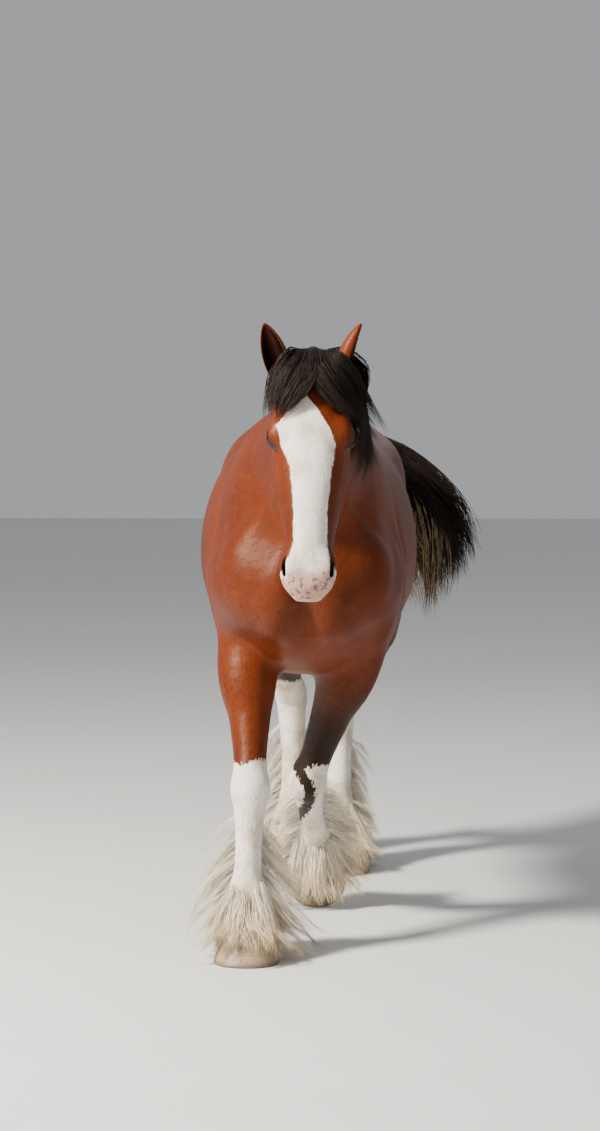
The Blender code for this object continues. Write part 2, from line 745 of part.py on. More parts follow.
def thin_out(item, wanted):
    """Merges edges until about the wanted number of triangles is left."""
    triangles = sum(len(p.vertices) - 2 for p in item.data.polygons)
    modifier = item.modifiers.new("thin_out", "DECIMATE")
    modifier.ratio = min(1.0, wanted / triangles)
    apply_modifiers(item)


def keep_nearest(work, seed):
    """Keeps only the loose part that has the vertex nearest to the seed."""
    start = min(work.verts, key=lambda v: (v.co - seed).length_squared)
    kept, edge = {start}, [start]
    while edge:
        vertex = edge.pop()
        for link in vertex.link_edges:
            other = link.other_vert(vertex)
            if other not in kept:
                kept.add(other)
                edge.append(other)
    bmesh.ops.delete(work, geom=[v for v in work.verts if v not in kept], context="VERTS")


def keep_largest(item):
    """Keeps the closed surface with the most faces. Surfaces that meet at a point only are two."""
    work = bmesh.new()
    work.from_mesh(item.data)
    left = set(work.faces)
    best = set()
    while left:
        start = left.pop()
        group, rim = {start}, [start]
        while rim:
            for edge in rim.pop().edges:
                for other in edge.link_faces:
                    if other in left:
                        left.discard(other)
                        group.add(other)
                        rim.append(other)
        if len(group) > len(best):
            best = group
    bmesh.ops.delete(work, geom=[f for f in work.faces if f not in best], context="FACES")
    bmesh.ops.delete(work, geom=[v for v in work.verts if not v.link_faces], context="VERTS")
    work.to_mesh(item.data)
    work.free()


def mend(work):
    """Makes every edge meet two faces again: takes out the ends of the others, and refills."""
    for attempt in range(12):
        loose = [v for v in work.verts if not v.link_faces]
        bmesh.ops.delete(work, geom=loose, context="VERTS")
        bad = [e for e in work.edges if len(e.link_faces) != 2]
        if not bad:
            return
        shared = [e for e in bad if len(e.link_faces) > 2]
        ends = {v for e in (shared or (bad if attempt else [])) for v in e.verts}
        bmesh.ops.delete(work, geom=list(ends), context="VERTS")
        rim = [e for e in work.edges if e.is_boundary]
        filled = bmesh.ops.holes_fill(work, edges=rim, sides=0)["faces"]
        bmesh.ops.triangulate(work, faces=filled)


def mend_item(item):
    work = bmesh.new()
    work.from_mesh(item.data)
    mend(work)
    bmesh.ops.recalc_face_normals(work, faces=work.faces[:])
    work.to_mesh(item.data)
    work.free()


def finish(item):
    """Welds what the unions left a hair apart, and leaves a closed mesh of triangles."""
    work = bmesh.new()
    work.from_mesh(item.data)
    for reach in (4e-6, 8e-6, 1.6e-5):
        bmesh.ops.remove_doubles(work, verts=work.verts[:], dist=reach)
        bmesh.ops.dissolve_degenerate(work, dist=reach, edges=work.edges[:])
        bmesh.ops.triangulate(work, faces=work.faces[:])
        mend(work)
    bmesh.ops.recalc_face_normals(work, faces=work.faces[:])
    work.to_mesh(item.data)
    work.free()
    keep_largest(item)


def cut(name, source, planes, seed):
    """The closed piece of a mesh that lies behind every plane and nearest to the seed."""
    work = bmesh.new()
    work.from_mesh(source.data)
    for point, normal in planes:
        normal = normal.normalized()
        for vertex in work.verts:
            off = (vertex.co - point).dot(normal)
            if abs(off) < 0.0012:
                vertex.co -= normal * off
        everything = work.verts[:] + work.edges[:] + work.faces[:]
        bmesh.ops.bisect_plane(
            work, geom=everything, dist=1e-6, plane_co=point, plane_no=normal, clear_outer=True
        )
        flat = [f for f in work.faces if all(abs((v.co - point).dot(normal)) < 2e-6 for v in f.verts)]
        bmesh.ops.delete(work, geom=flat, context="FACES")
        bare = [v for v in work.verts if not v.link_faces]
        bmesh.ops.delete(work, geom=bare, context="VERTS")
        rim = [e for e in work.edges if e.is_boundary]
        bmesh.ops.holes_fill(work, edges=rim, sides=0)
        keep_nearest(work, seed)
    bmesh.ops.triangulate(work, faces=work.faces[:])
    mend(work)
    bmesh.ops.recalc_face_normals(work, faces=work.faces[:])
    mesh = bpy.data.meshes.new(name)
    work.to_mesh(mesh)
    work.free()
    item = bpy.data.objects.new(name, mesh)
    bpy.context.scene.collection.objects.link(item)
    return item


def inflated(item, by):
    """A copy of a mesh, grown by a little along its normals."""
    work = bmesh.new()
    work.from_mesh(item.data)
    work.normal_update()
    moves = [v.normal * by * min(v.calc_shell_factor(), 2.0) for v in work.verts]
    for vertex, move in zip(work.verts, moves):
        vertex.co += move
    mesh = bpy.data.meshes.new(item.name + "_grown")
    work.to_mesh(mesh)
    work.free()
    grown = bpy.data.objects.new(item.name + "_grown", mesh)
    bpy.context.scene.collection.objects.link(grown)
    grown.hide_render = True
    return grown


def fuse(item, pieces, solver="EXACT"):
    """One union of a body with all its pieces, which are then removed."""
    group = bpy.data.collections.new(item.name + "_pieces")
    bpy.context.scene.collection.children.link(group)
    for piece in pieces:
        group.objects.link(piece)
    modifier = item.modifiers.new("fuse", "BOOLEAN")
    modifier.operation = "UNION"
    modifier.operand_type = "COLLECTION"
    modifier.collection = group
    modifier.solver = solver
    apply_modifiers(item)
    for piece in pieces:
        bpy.data.objects.remove(piece)
    bpy.data.collections.remove(group)
    keep_largest(item)


def carve(item, cutters, solver="EXACT"):
    """Takes each cutter out of a body, and removes the cutter."""
    for cutter in cutters:
        cutter.hide_render = True
        modifier = item.modifiers.new("carve", "BOOLEAN")
        modifier.operation = "DIFFERENCE"
        modifier.object = cutter
        modifier.solver = solver
        apply_modifiers(item)
        bpy.data.objects.remove(cutter)
    keep_largest(item)


def lofted(name, rings, close_start=True, close_end=True):
    """A closed body through rings of equal length."""
    count = len(rings[0])
    points = [p for ring in rings for p in ring]
    faces = []
    for i in range(len(rings) - 1):
        for j in range(count):
            a, b = i * count + j, i * count + (j + 1) % count
            faces.append((a, b, b + count))
            faces.append((a, b + count, a + count))
    for first, closed in ((0, close_start), ((len(rings) - 1) * count, close_end)):
        if closed:
            middle = sum((Vector(p) for p in points[first : first + count]), Vector()) / count
            points.append(middle)
            for j in range(count):
                faces.append((first + j, first + (j + 1) % count, len(points) - 1))
    return mesh_object(name, points, faces)


# Hooves

def hoof_outline(half_width, half_length, centre, count=20):
    """A round toe and squarer heels, seen from above."""
    ring = []
    for i in range(count):
        turn = 2 * math.pi * i / count
        x, y = math.sin(turn), -math.cos(turn)
        power = 0.86 if y > 0 else 1.0
        ring.append(
            Vector(
                (
                    half_width * math.copysign(abs(x) ** 0.92, x),
                    centre + half_length * math.copysign(abs(y) ** power, y),
                    0.0,
                )
            )
        )
    return ring


def coronet_plane(leg):
    """A point and the way up from the hoof, for the cut between the hoof and the pastern."""
    place = hoof_frame(leg)
    middle = place @ ((CORONET_FRONT + CORONET_BACK) / 2)
    slope = (CORONET_BACK - CORONET_FRONT).normalized()
    up = Vector((1, 0, 0)).cross(slope)
    if up.z < 0:
        up = -up
    return middle, (place.to_3x3() @ up).normalized()


def hoof(name, leg):
    place = hoof_frame(leg)
    middle, up = coronet_plane(leg)
    slope = (CORONET_BACK - CORONET_FRONT).normalized()
    centre = (CORONET_FRONT + CORONET_BACK) / 2
    rings = []
    sole = hoof_outline(HOOF_WIDTH / 2, HOOF_LENGTH / 2, HOOF_LENGTH / 2)
    top = hoof_outline(CORONET_WIDTH / 2, (CORONET_BACK - CORONET_FRONT).length / 2, 0.0)
    bevel = [Vector((p.x * 0.975, (p.y - 0.096) * 0.975 + 0.096, 0.0)) for p in sole]
    crown = [centre + Vector((p.x, 0, 0)) + slope * p.y for p in top]
    rings.append(bevel)
    rings.append([Vector((p.x, p.y, 0.006)) for p in sole])
    for share in (0.5,):
        rings.append([a.lerp(b, share) + Vector((a.x * 0.015, 0, 0)) for a, b in zip(rings[1], crown)])
    rings.append(crown)
    item = lofted(name, [[place @ p for p in ring] for ring in rings])
    if leg["heel_lift"]:
        work = bmesh.new()
        work.from_mesh(item.data)
        lowest = min(v.co.z for v in work.verts)
        for vertex in work.verts:
            vertex.co.z -= lowest + TOE_FLAT
        work.to_mesh(item.data)
        work.free()
        floor = [(Vector((0, 0, 0)), Vector((0, 0, -1)))]
        flat = cut(name, item, floor, leg["toe"] + Vector((0, 0, 0.05)))
        bpy.data.objects.remove(item)
        item = flat
        item.name = name
    return item


# Ears and eyes

def ear(name, side, base, tip, open_way):
    """A cupped ear: a rolled leaf with thickness, open towards one side."""
    axis = tip - base
    length = axis.length
    axis.normalize()
    front = (open_way - axis * open_way.dot(axis)).normalized()
    across = axis.cross(front)
    rings = []
    count = 7
    for share, radius, spread, shift in EAR_SECTIONS:
        middle = base + axis * length * share - front * shift
        outer, inner = [], []
        for i in range(count):
            turn = math.radians(180 - spread / 2 + spread * i / (count - 1))
            way = front * math.cos(turn) + across * math.sin(turn)
            lip = 0.35 if i in (0, count - 1) else 1.0
            outer.append(middle + way * radius)
            inner.append(middle + way * max(radius - EAR_THICKNESS * lip, radius * 0.4))
        rings.append(outer + inner[::-1])
    item = lofted(name, rings)
    return item


def eye(name, side):
    centre = out_of((-side * EYE.x, EYE.y, EYE.z), HEAD_FRAME)
    return ball(name, centre, EYE_RADIUS, 10, 7)


def ball(name, centre, radius, around, up):
    work = bmesh.new()
    bmesh.ops.create_uvsphere(work, u_segments=around, v_segments=up, radius=radius)
    bmesh.ops.rotate(work, verts=work.verts[:], matrix=Matrix.Rotation(math.radians(90), 3, "Y"))
    bmesh.ops.translate(work, verts=work.verts[:], vec=centre)
    bmesh.ops.triangulate(work, faces=work.faces[:])
    mesh = bpy.data.meshes.new(name)
    work.to_mesh(mesh)
    work.free()
    item = bpy.data.objects.new(name, mesh)
    bpy.context.scene.collection.objects.link(item)
    face_out(item)
    return item


# Hair

def leg_axis(leg, upper):
    """A path down a lower leg from knee or hock to the coronet, for the roots of the feather."""
    return [leg[upper], leg[upper].lerp(leg["fetlock"], 0.5), leg["fetlock"], coronet_of(leg)]


def feather_paths(leg, upper, count, rng, reach):
    """Roots round the back and sides of the lower leg, with their ways and lengths."""
    axis = leg_axis(leg, upper)
    cannon = (leg["fetlock"] - leg[upper]).normalized()
    back = (Vector((0, 1, 0)) - cannon * cannon.y).normalized()
    across = cannon.cross(back)
    roots, ways, lengths = [], [], []
    for i in range(count):
        share = (i + 0.5) / count
        place = (0.14 + 0.62 * share**0.8) * (len(axis) - 1)
        k = min(int(place), len(axis) - 2)
        centre = axis[k].lerp(axis[k + 1], place - k)
        turn = math.radians(((i * 0.618034) % 1.0 * 2 - 1) * (72 + 40 * share))
        out = back * math.cos(turn) + across * math.sin(turn)
        roots.append(centre + out * 0.020)
        side = abs(math.sin(turn))
        blown = (reach - 1.0) / 0.35 * side
        ways.append(out * (0.62 + 0.25 * blown) + cannon * (1.0 - 0.35 * blown))
        length = 0.135 + 0.085 * math.sin(math.pi * min(1.0, 0.2 + 0.7 * share))
        length *= 1.0 + (reach - 1.0) * side
        lengths.append(length * rng.uniform(0.90, 1.10))
    return roots, ways, lengths


def fringe_paths(leg, count, rng):
    """Roots all round the pastern, for the hair that falls over the wall of the hoof."""
    down = (coronet_of(leg) - leg["fetlock"]).normalized()
    forward = (Vector((0, -1, 0)) + down * down.y).normalized()
    across = down.cross(forward)
    roots, ways, lengths = [], [], []
    for i in range(count):
        turn = 2 * math.pi * (i + 0.5) / count
        out = forward * math.cos(turn) + across * math.sin(turn)
        roots.append(leg["fetlock"].lerp(coronet_of(leg), 0.60) + out * 0.055)
        ways.append(out * 0.50 + down * 0.9 + Vector((0, 0, -0.2)))
        lengths.append(FRINGE_LENGTH * rng.uniform(0.90, 1.10))
    return roots, ways, lengths


def feather_locks(field, name, leg, upper, count, seed, reach=1.0):
    rng = random.Random(seed)
    roots, ways, lengths = feather_paths(leg, upper, count, rng, reach)
    steps = 4
    wave = [np.array([rng.uniform(-0.1, 0.1), rng.uniform(0.0, 0.10), 0]) for _ in range(steps)]
    sag = [0.16 / reach**4] * count
    lifts = [rng.uniform(0.014, 0.040) for _ in range(count)]
    path, faces = drape(field, roots, ways, lengths, lifts, sag, steps, wave)
    cannon = np.array((leg["fetlock"] - leg[upper]).normalized())
    for i in range(count):
        if i % 2 or (reach > 1 and i % 4):
            # On edge, so that the feather is full from every side
            faces[i] = np.cross(cannon, faces[i])
    locks = [
        lock(f"{name}_lock_{i}", path[i], faces[i], rng.uniform(0.070, 0.090), 0.018, 0.5)
        for i in range(count)
    ]
    roots, ways, lengths = fringe_paths(leg, FRINGE_LOCKS, rng)
    path, faces = drape(
        field, roots, ways, lengths, [0.006] * FRINGE_LOCKS, [0.10] * FRINGE_LOCKS, 3
    )
    return locks + [
        lock(f"{name}_fringe_{i}", path[i], faces[i], rng.uniform(0.086, 0.106), 0.014, 0.4)
        for i in range(FRINGE_LOCKS)
    ]


def crest_point(share):
    """The top line of the neck, from between the ears to the withers."""
    places = [Vector(p) for p in CREST]
    at = share * (len(places) - 1)
    k = min(int(at), len(places) - 2)
    return places[k].lerp(places[k + 1], at - k)


def mane_locks(field, name, count, seed):
    """Hair from all along the crest, thrown over to the left side of the neck."""
    rng = random.Random(seed)
    roots, ways, lengths = [], [], []
    for i in range(count):
        share = (i + 0.5) / count
        top = crest_point(share)
        over = 1.0 if i % 6 else -0.8
        roots.append(top + Vector((0.006 * over, 0, -0.034)))
        ways.append(Vector((0.60 * over, rng.uniform(-0.45, 0.05), 0.75)))
        long = 0.70 + 0.55 * math.sin(math.pi * min(1.0, share + 0.12))
        lengths.append(MANE_LENGTH * rng.uniform(0.85, 1.12) * long * (1.0 if over > 0 else 0.55))
    steps = 6
    wave = [np.array([0.12 if k < 3 else 0.0, rng.uniform(-0.16, 0.16), 0]) for k in range(steps)]
    lifts = [rng.uniform(0.010, 0.030) for _ in range(count)]
    path, faces = drape(field, roots, ways, lengths, lifts, [0.75] * count, steps, wave, cling=0.045)
    return [
        lock(f"{name}_lock_{i}", path[i], faces[i], rng.uniform(0.058, 0.080), 0.018)
        for i in range(count)
    ]


def forelock_locks(field, name, count, seed):
    """Hair from the poll, parted down the middle of the forehead and swept to both sides."""
    rng = random.Random(seed)
    roots, ways, lengths = [], [], []
    for i in range(count):
        half = (count + 1) // 2
        rank = (i // 2 + 0.5) / half
        side = 1 if i % 2 else -1
        sweep = 1.0 if side > 0 else 0.62
        roots.append(out_of((-side * 0.034 * rank, -0.005 + 0.030 * (i % 3), -0.026), HEAD_FRAME))
        ways.append(Vector((side * (0.20 + 0.62 * rank) * sweep, -0.50 + 0.10 * rank, 0.90)))
        long = FORELOCK_LENGTH * (0.86 if side < 0 else 1.0)
        lengths.append(long * rng.uniform(0.88, 1.12) * (0.86 + 0.3 * math.sin(3.0 * rank)))
    steps = 6
    lifts = [rng.uniform(0.008, 0.022) for _ in range(count)]
    path, faces = drape(
        field, roots, ways, lengths, lifts, [0.50] * count, steps, cling=0.030
    )
    return [
        lock(f"{name}_lock_{i}", path[i], faces[i], rng.uniform(0.048, 0.062), 0.016)
        for i in range(count)
    ]


def tail_locks(name, count, seed):
    """Hair that leaves the dock all along it and streams to the side and down."""
    rng = random.Random(seed)
    items = []
    dock = [Vector(row[:3]) for row in DOCK]
    tips = [Vector(tip) for tip in TAIL_TIPS]
    for i in range(count):
        share = (i + 0.5) / count
        at = (0.10 + 0.88 * share) * (len(dock) - 1)
        k = min(int(at), len(dock) - 2)
        root = dock[k].lerp(dock[k + 1], at - k)
        fan = (i * 0.618034) % 1.0 * (len(tips) - 1)
        j = min(int(fan), len(tips) - 2)
        end = tips[j].lerp(tips[j + 1], fan - j)
        end += Vector((rng.uniform(-0.02, 0.02), rng.uniform(-0.085, 0.070), rng.uniform(-0.04, 0.04)))
        run = (dock[k + 1] - dock[k]).normalized()
        bend = root.lerp(end, 0.42) + run * 0.11 + Vector((0.02, 0, 0.12 * (1 - share * 0.5)))
        turn = 2.4 * i
        path, faces = [], []
        for step in range(6):
            t = step / 5
            p = root * (1 - t) ** 2 + bend * 2 * t * (1 - t) + end * t**2
            swing = 0.022 * t
            p += Vector((swing * math.sin(5 * t + i), swing * 1.6 * math.sin(4 * t + 2 * i), 0))
            path.append(np.array(p))
            faces.append(np.array((0.4 * math.sin(turn), 1.0 if i % 2 else -1.0, 0.3)))
        items.append(lock(f"{name}_lock_{i}", path, faces, rng.uniform(0.062, 0.088), 0.020, 0.5))
    return items


# The nodes

def split_body(body):
    """Cuts the one body mesh into the trunk, the neck and the limbs."""
    level = Vector((0, 0, LEG_CUT))
    up, down = Vector((0, 0, 1)), Vector((0, 0, -1))
    neck_way = Vector(NECK_CUT_WAY).normalized()
    neck_at = Vector(NECK_CUT)
    nodes = {}
    trunk_seed = Vector((0, 0, 1.7))
    nodes["torso"] = cut(
        "torso", body, [(neck_at, neck_way), (level + up * GAP, down)], trunk_seed
    )
    head_at, head_way = head_cut()
    neck_planes = [(neck_at + neck_way * GAP, -neck_way), (head_at + head_way * GAP, -head_way)]
    nodes["neck"] = cut("neck", body, neck_planes, crest_point(0.5))
    for kind, legs, upper in (("fore", FORE, "knee"), ("hind", HIND, "hock")):
        for side, leg in legs.items():
            cannon = (leg["fetlock"] - leg[upper]).normalized()
            at = leg[upper] + cannon * 0.075
            middle, rise = coronet_plane(leg)
            name = f"{kind}leg_{side}"
            nodes[name + "_upper"] = cut(
                name + "_upper", body, [(level, up), (at, cannon)], leg[upper]
            )
            nodes[name + "_lower"] = cut(
                name + "_lower",
                body,
                [(level, up), (at + cannon * GAP, -cannon), (middle + rise * GAP, -rise)],
                leg["fetlock"],
            )
    return nodes


def head_cut():
    """Behind the poll and the jaw: a point, and the way towards the neck."""
    top = out_of((0, -0.045, -0.080), HEAD_FRAME)
    low = out_of((0, 0.215, -0.312), HEAD_FRAME)
    way = (low - top).cross(Vector((1, 0, 0))).normalized()
    return top, way if way.y > 0 else -way


def make_head(field):
    low, high = (-0.20, -1.70, 1.08), (0.26, -0.90, 1.96)
    points, faces = surface(field, low, high, HEAD_STEP)
    points = settle(field, points)
    fine = mesh_object("head_fine", points, faces)
    mend_item(fine)
    thin_out(fine, HEAD_TRIANGLES)
    at, way = head_cut()
    head = cut("head", fine, [(at, way)], out_of((0, 0.3, 0), HEAD_FRAME))
    bpy.data.objects.remove(fine)
    return head


def build():
    for old in list(bpy.data.objects):
        bpy.data.objects.remove(old)
    field = horse_field()
    points, faces = surface(field, (-0.46, -1.75, -0.04), (0.46, 1.20, 2.00), BODY_STEP)
    points = settle(field, points)
    body = mesh_object("body", points, faces)
    mend_item(body)
    thin_out(body, BODY_TRIANGLES)
    nodes = split_body(body)
    bpy.data.objects.remove(body)
    nodes["head"] = make_head(field)
    over_hooves = horse_field()
    add_hooves(over_hooves)
    for kind, legs, upper in (("fore", FORE, "knee"), ("hind", HIND, "hock")):
        for side, leg in legs.items():
            name = f"{kind}leg_{side}"
            nodes[name + "_hoof"] = hoof(name + "_hoof", leg)
            low = nodes[name + "_lower"]
            reach = BLOWN_FEATHER if name == "foreleg_right" else 1.0
            seed = 31 + len(nodes)
            locks = feather_locks(over_hooves, low.name, leg, upper, FEATHER_LOCKS, seed, reach)
            keep_off = [inflated(nodes[name + "_hoof"], GAP * 0.8)]
            join_and_carve(low, locks, keep_off)
    for side, way in SIDES.items():
        nodes["eye_" + side] = eye("eye_" + side, way)
    head = nodes["head"]
    sockets = [inflated(nodes["eye_" + side], GAP) for side in SIDES]
    carve(head, sockets, "MANIFOLD")
    fuse(head, forelock_locks(field, "head", FORELOCK_LOCKS, 5), "MANIFOLD")
    for side, row in EARS.items():
        base = out_of(row[0], HEAD_FRAME)
        nodes["ear_" + side] = ear("ear_" + side, side, base, Vector(row[1]), Vector(row[2]))
        finish(nodes["ear_" + side])
    carve(head, [inflated(nodes["ear_" + side], GAP) for side in SIDES], "MANIFOLD")
    finish(head)
    neck = nodes["neck"]
    join_and_carve(
        neck,
        mane_locks(field, "neck", MANE_LOCKS, 7),
        [inflated(nodes["torso"], GAP * 0.8), inflated(head, GAP * 0.8)]
        + [inflated(nodes["ear_" + side], GAP) for side in SIDES],
    )
    smooth = Field()
    smooth.tube(DOCK, 0.02)
    points, faces = surface(smooth, (-0.1, 0.8, 1.3), (0.6, 1.35, 1.8), 0.016)
    tail = mesh_object("tail", points, faces)
    thin_out(tail, 260)
    fuse(tail, tail_locks("tail", TAIL_LOCKS, 3))
    carve(tail, [inflated(nodes["torso"], GAP)], "MANIFOLD")
    nodes["tail"] = tail
    for item in nodes.values():
        if item is not head:
            finish(item)
        item.data.transform(Matrix.Translation(FRAME_SHIFT))
    return nodes


def join_and_carve(item, locks, keep_off):
    """Fuses the locks with their node, then clears the node's neighbours."""
    fuse(item, locks)
    carve(item, keep_off, "MANIFOLD")


build()
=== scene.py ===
"""The Clydesdale horse dressed for the render: skin, hair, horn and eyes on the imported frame.

Metres, +Z up. The horse faces -Y and its left side is +X. The forms are worked out in the
frame of the named sizes below and then moved by FRAME_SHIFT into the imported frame.
"""

import json
import math

import bmesh
import bpy
import numpy as np
from mathutils import Matrix, Vector

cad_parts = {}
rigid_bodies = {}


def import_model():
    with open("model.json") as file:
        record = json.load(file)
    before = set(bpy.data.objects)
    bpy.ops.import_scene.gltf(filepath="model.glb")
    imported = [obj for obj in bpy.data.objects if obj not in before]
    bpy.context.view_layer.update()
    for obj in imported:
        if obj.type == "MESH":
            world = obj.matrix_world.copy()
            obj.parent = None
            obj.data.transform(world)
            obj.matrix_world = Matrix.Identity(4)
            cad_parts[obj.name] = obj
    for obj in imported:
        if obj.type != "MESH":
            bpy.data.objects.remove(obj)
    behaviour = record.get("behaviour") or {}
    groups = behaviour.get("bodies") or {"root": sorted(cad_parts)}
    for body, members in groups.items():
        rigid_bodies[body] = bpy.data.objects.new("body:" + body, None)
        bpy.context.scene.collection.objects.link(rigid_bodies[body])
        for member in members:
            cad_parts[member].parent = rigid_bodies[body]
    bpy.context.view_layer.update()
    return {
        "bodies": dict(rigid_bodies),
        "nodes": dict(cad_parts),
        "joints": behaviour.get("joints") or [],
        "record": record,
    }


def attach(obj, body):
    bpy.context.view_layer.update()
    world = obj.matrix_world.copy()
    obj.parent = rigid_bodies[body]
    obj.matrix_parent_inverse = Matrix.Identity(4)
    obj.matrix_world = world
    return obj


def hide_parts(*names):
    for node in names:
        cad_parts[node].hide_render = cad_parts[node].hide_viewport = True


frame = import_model()

# Driving dimensions
WITHERS_HEIGHT = 1.74
HEAD_LENGTH = 0.74
FACE_TILT = math.radians(25)  # of the face from upright
POLL = Vector((0.029, -1.20, 1.862))
EYE_RADIUS = 0.0235
CORNEA_RISE = 0.0012
FRAME_SHIFT = Vector((-0.0986, 0.135, 0.0))  # puts the origin under the middle of the box

# Mesh sizes
SKIN_STEP = 0.009
FINE_STEP = 0.0030  # over the head and the ears
BAND = 4  # fine cells to a coarse one

SIDES = {"right": -1, "left": 1}

# The trunk, from breast to buttock: y, top, floor, level of greatest width, half width there, how
# full the section is above that level and below it
TRUNK = {
    "breast": (-0.89, 1.30, 1.10, 1.18, 0.06, 2.0, 2.0),
    "shoulder": (-0.80, 1.44, 0.97, 1.17, 0.175, 2.0, 2.2),
    "arm": (-0.64, 1.59, 0.875, 1.16, 0.262, 1.8, 2.3),
    "withers": (-0.42, WITHERS_HEIGHT - 0.005, 0.835, 1.17, 0.300, 1.45, 2.2),
    "girth": (-0.20, 1.70, 0.825, 1.19, 0.335, 1.65, 2.1),
    "barrel": (0.08, 1.662, 0.83, 1.21, 0.366, 2.0, 2.1),
    "loin": (0.34, 1.685, 0.90, 1.27, 0.345, 1.95, 2.1),
    "croup": (0.56, 1.722, 1.00, 1.33, 0.325, 1.85, 2.0),
    "haunch": (0.78, 1.68, 1.08, 1.34, 0.285, 1.9, 2.0),
    "tail_head": (0.93, 1.59, 1.16, 1.35, 0.205, 2.1, 2.0),
    "buttock": (1.01, 1.48, 1.24, 1.36, 0.08, 2.0, 2.0),
}

# The neck along its axis, in the rows of the trunk
NECK_ROOT = Vector((0.0, -0.48, 1.37))
NECK = {
    "root": (0.0, 0.330, -0.330, -0.02, 0.215, 1.8, 2.1),
    "base": (0.239, 0.288, -0.285, -0.03, 0.182, 1.7, 2.1),
    "middle": (0.453, 0.236, -0.208, -0.02, 0.142, 1.7, 2.1),
    "upper": (0.639, 0.180, -0.156, -0.01, 0.116, 1.8, 2.1),
    "poll": (0.771, 0.116, -0.112, 0.0, 0.094, 2.0, 2.0),
    "end": (0.830, 0.060, -0.070, 0.0, 0.060, 2.0, 2.0),
}

# The head along its axis from the poll: face line, jaw line, level of greatest width, half width,
# fullness in front and behind. Heights are in front of the face plane through the poll.
HEAD = {
    "poll": (-0.02, -0.045, -0.165, -0.09, 0.050, 2.0, 2.0),
    "crown": (0.04, 0.008, -0.22, -0.085, 0.083, 2.2, 2.0),
    "temple": (0.13, 0.034, -0.275, -0.075, 0.104, 2.3, 1.9),
    "eye": (0.25, 0.040, -0.305, -0.07, 0.109, 2.4, 1.8),
    "cheek": (0.36, 0.034, -0.255, -0.08, 0.103, 2.3, 1.8),
    "nose": (0.48, 0.024, -0.185, -0.085, 0.086, 2.2, 1.9),
    "bridge": (0.58, 0.012, -0.155, -0.08, 0.070, 2.3, 2.1),
    "nostril": (0.66, -0.004, -0.147, -0.075, 0.070, 2.4, 2.1),
    "lip": (0.715, -0.026, -0.132, -0.08, 0.060, 2.2, 2.1),
    "tip": (HEAD_LENGTH + 0.005, -0.058, -0.108, -0.08, 0.036, 2.0, 2.0),
}

# Joints of the limbs in this stride
FORE = {
    "right": {
        "shoulder": Vector((-0.185, -0.62, 1.16)),
        "elbow": Vector((-0.188, -0.535, 0.99)),
        "knee": Vector((-0.173, -0.80, 0.515)),
        "fetlock": Vector((-0.180, -0.868, 0.205)),
        "toe": Vector((-0.180, -1.035, 0.0)),
        "heel_lift": 0.0,
    },
    "left": {
        "shoulder": Vector((0.185, -0.60, 1.16)),
        "elbow": Vector((0.168, -0.475, 0.98)),
        "knee": Vector((-0.008, -0.325, 0.475)),
        "fetlock": Vector((0.010, -0.070, 0.258)),
        "toe": Vector((0.016, 0.0, 0.0)),
        "heel_lift": math.radians(62),
    },
}
HIND = {
    "right": {
        "hip": Vector((-0.155, 0.70, 1.34)),
        "stifle": Vector((-0.175, 0.50, 0.98)),
        "hock": Vector((-0.098, 0.97, 0.620)),
        "fetlock": Vector((-0.086, 0.975, 0.215)),
        "toe": Vector((-0.080, 0.805, 0.0)),
        "heel_lift": 0.0,
    },
    "left": {
        "hip": Vector((0.155, 0.66, 1.33)),
        "stifle": Vector((0.190, 0.40, 0.955)),
        "hock": Vector((0.086, 0.84, 0.605)),
        "fetlock": Vector((0.082, 0.755, 0.215)),
        "toe": Vector((0.096, 0.59, 0.0)),
        "heel_lift": 0.0,
    },
}

# Half width and half depth of a limb, by its share of the way between two joints
FORE_GIRTHS = (
    ("shoulder", "elbow", 0.0, 0.105, 0.165),
    ("shoulder", "elbow", 0.9, 0.094, 0.140),
    ("elbow", "knee", 0.28, 0.080, 0.102),
    ("elbow", "knee", 0.60, 0.062, 0.072),
    ("elbow", "knee", 0.84, 0.051, 0.057),
    ("elbow", "knee", 1.0, 0.062, 0.061),
    ("knee", "fetlock", 0.16, 0.051, 0.055),
    ("knee", "fetlock", 0.50, 0.041, 0.051),
    ("knee", "fetlock", 0.82, 0.044, 0.054),
    ("knee", "fetlock", 1.0, 0.057, 0.062),
)
HIND_GIRTHS = (
    ("hip", "stifle", 0.35, 0.130, 0.255),
    ("hip", "stifle", 0.95, 0.108, 0.165),
    ("stifle", "hock", 0.30, 0.086, 0.122),
    ("stifle", "hock", 0.62, 0.060, 0.080),
    ("stifle", "hock", 0.85, 0.052, 0.066),
    ("stifle", "hock", 1.0, 0.059, 0.072),
    ("hock", "fetlock", 0.16, 0.052, 0.064),
    ("hock", "fetlock", 0.50, 0.043, 0.054),
    ("hock", "fetlock", 0.82, 0.046, 0.056),
    ("hock", "fetlock", 1.0, 0.058, 0.064),
)
PASTERN_GIRTHS = ((0.45, 0.050, 0.052), (0.90, 0.070, 0.064), (1.25, 0.078, 0.070))

# The hoof in its own frame: toe at the origin, heels towards +Y, sole at Z = 0
HOOF_LENGTH = 0.192
HOOF_WIDTH = 0.200
CORONET_WIDTH = 0.152
CORONET_FRONT = Vector((0.0, 0.066, 0.100))
CORONET_BACK = Vector((0.0, 0.198, 0.052))

TOE_FLAT = 0.0025  # worn off the tip of the lifted toe, so that it stands

# Ears: root in the frame of the head, tip, and the way the cup faces
EARS = {
    "right": ((0.090, 0.066, -0.062), (-0.112, -1.215, 1.940), (-0.25, -1.0, 0.1)),
    "left": ((-0.090, 0.066, -0.062), (0.169, -1.205, 1.938), (0.75, -0.75, 0.1)),
}

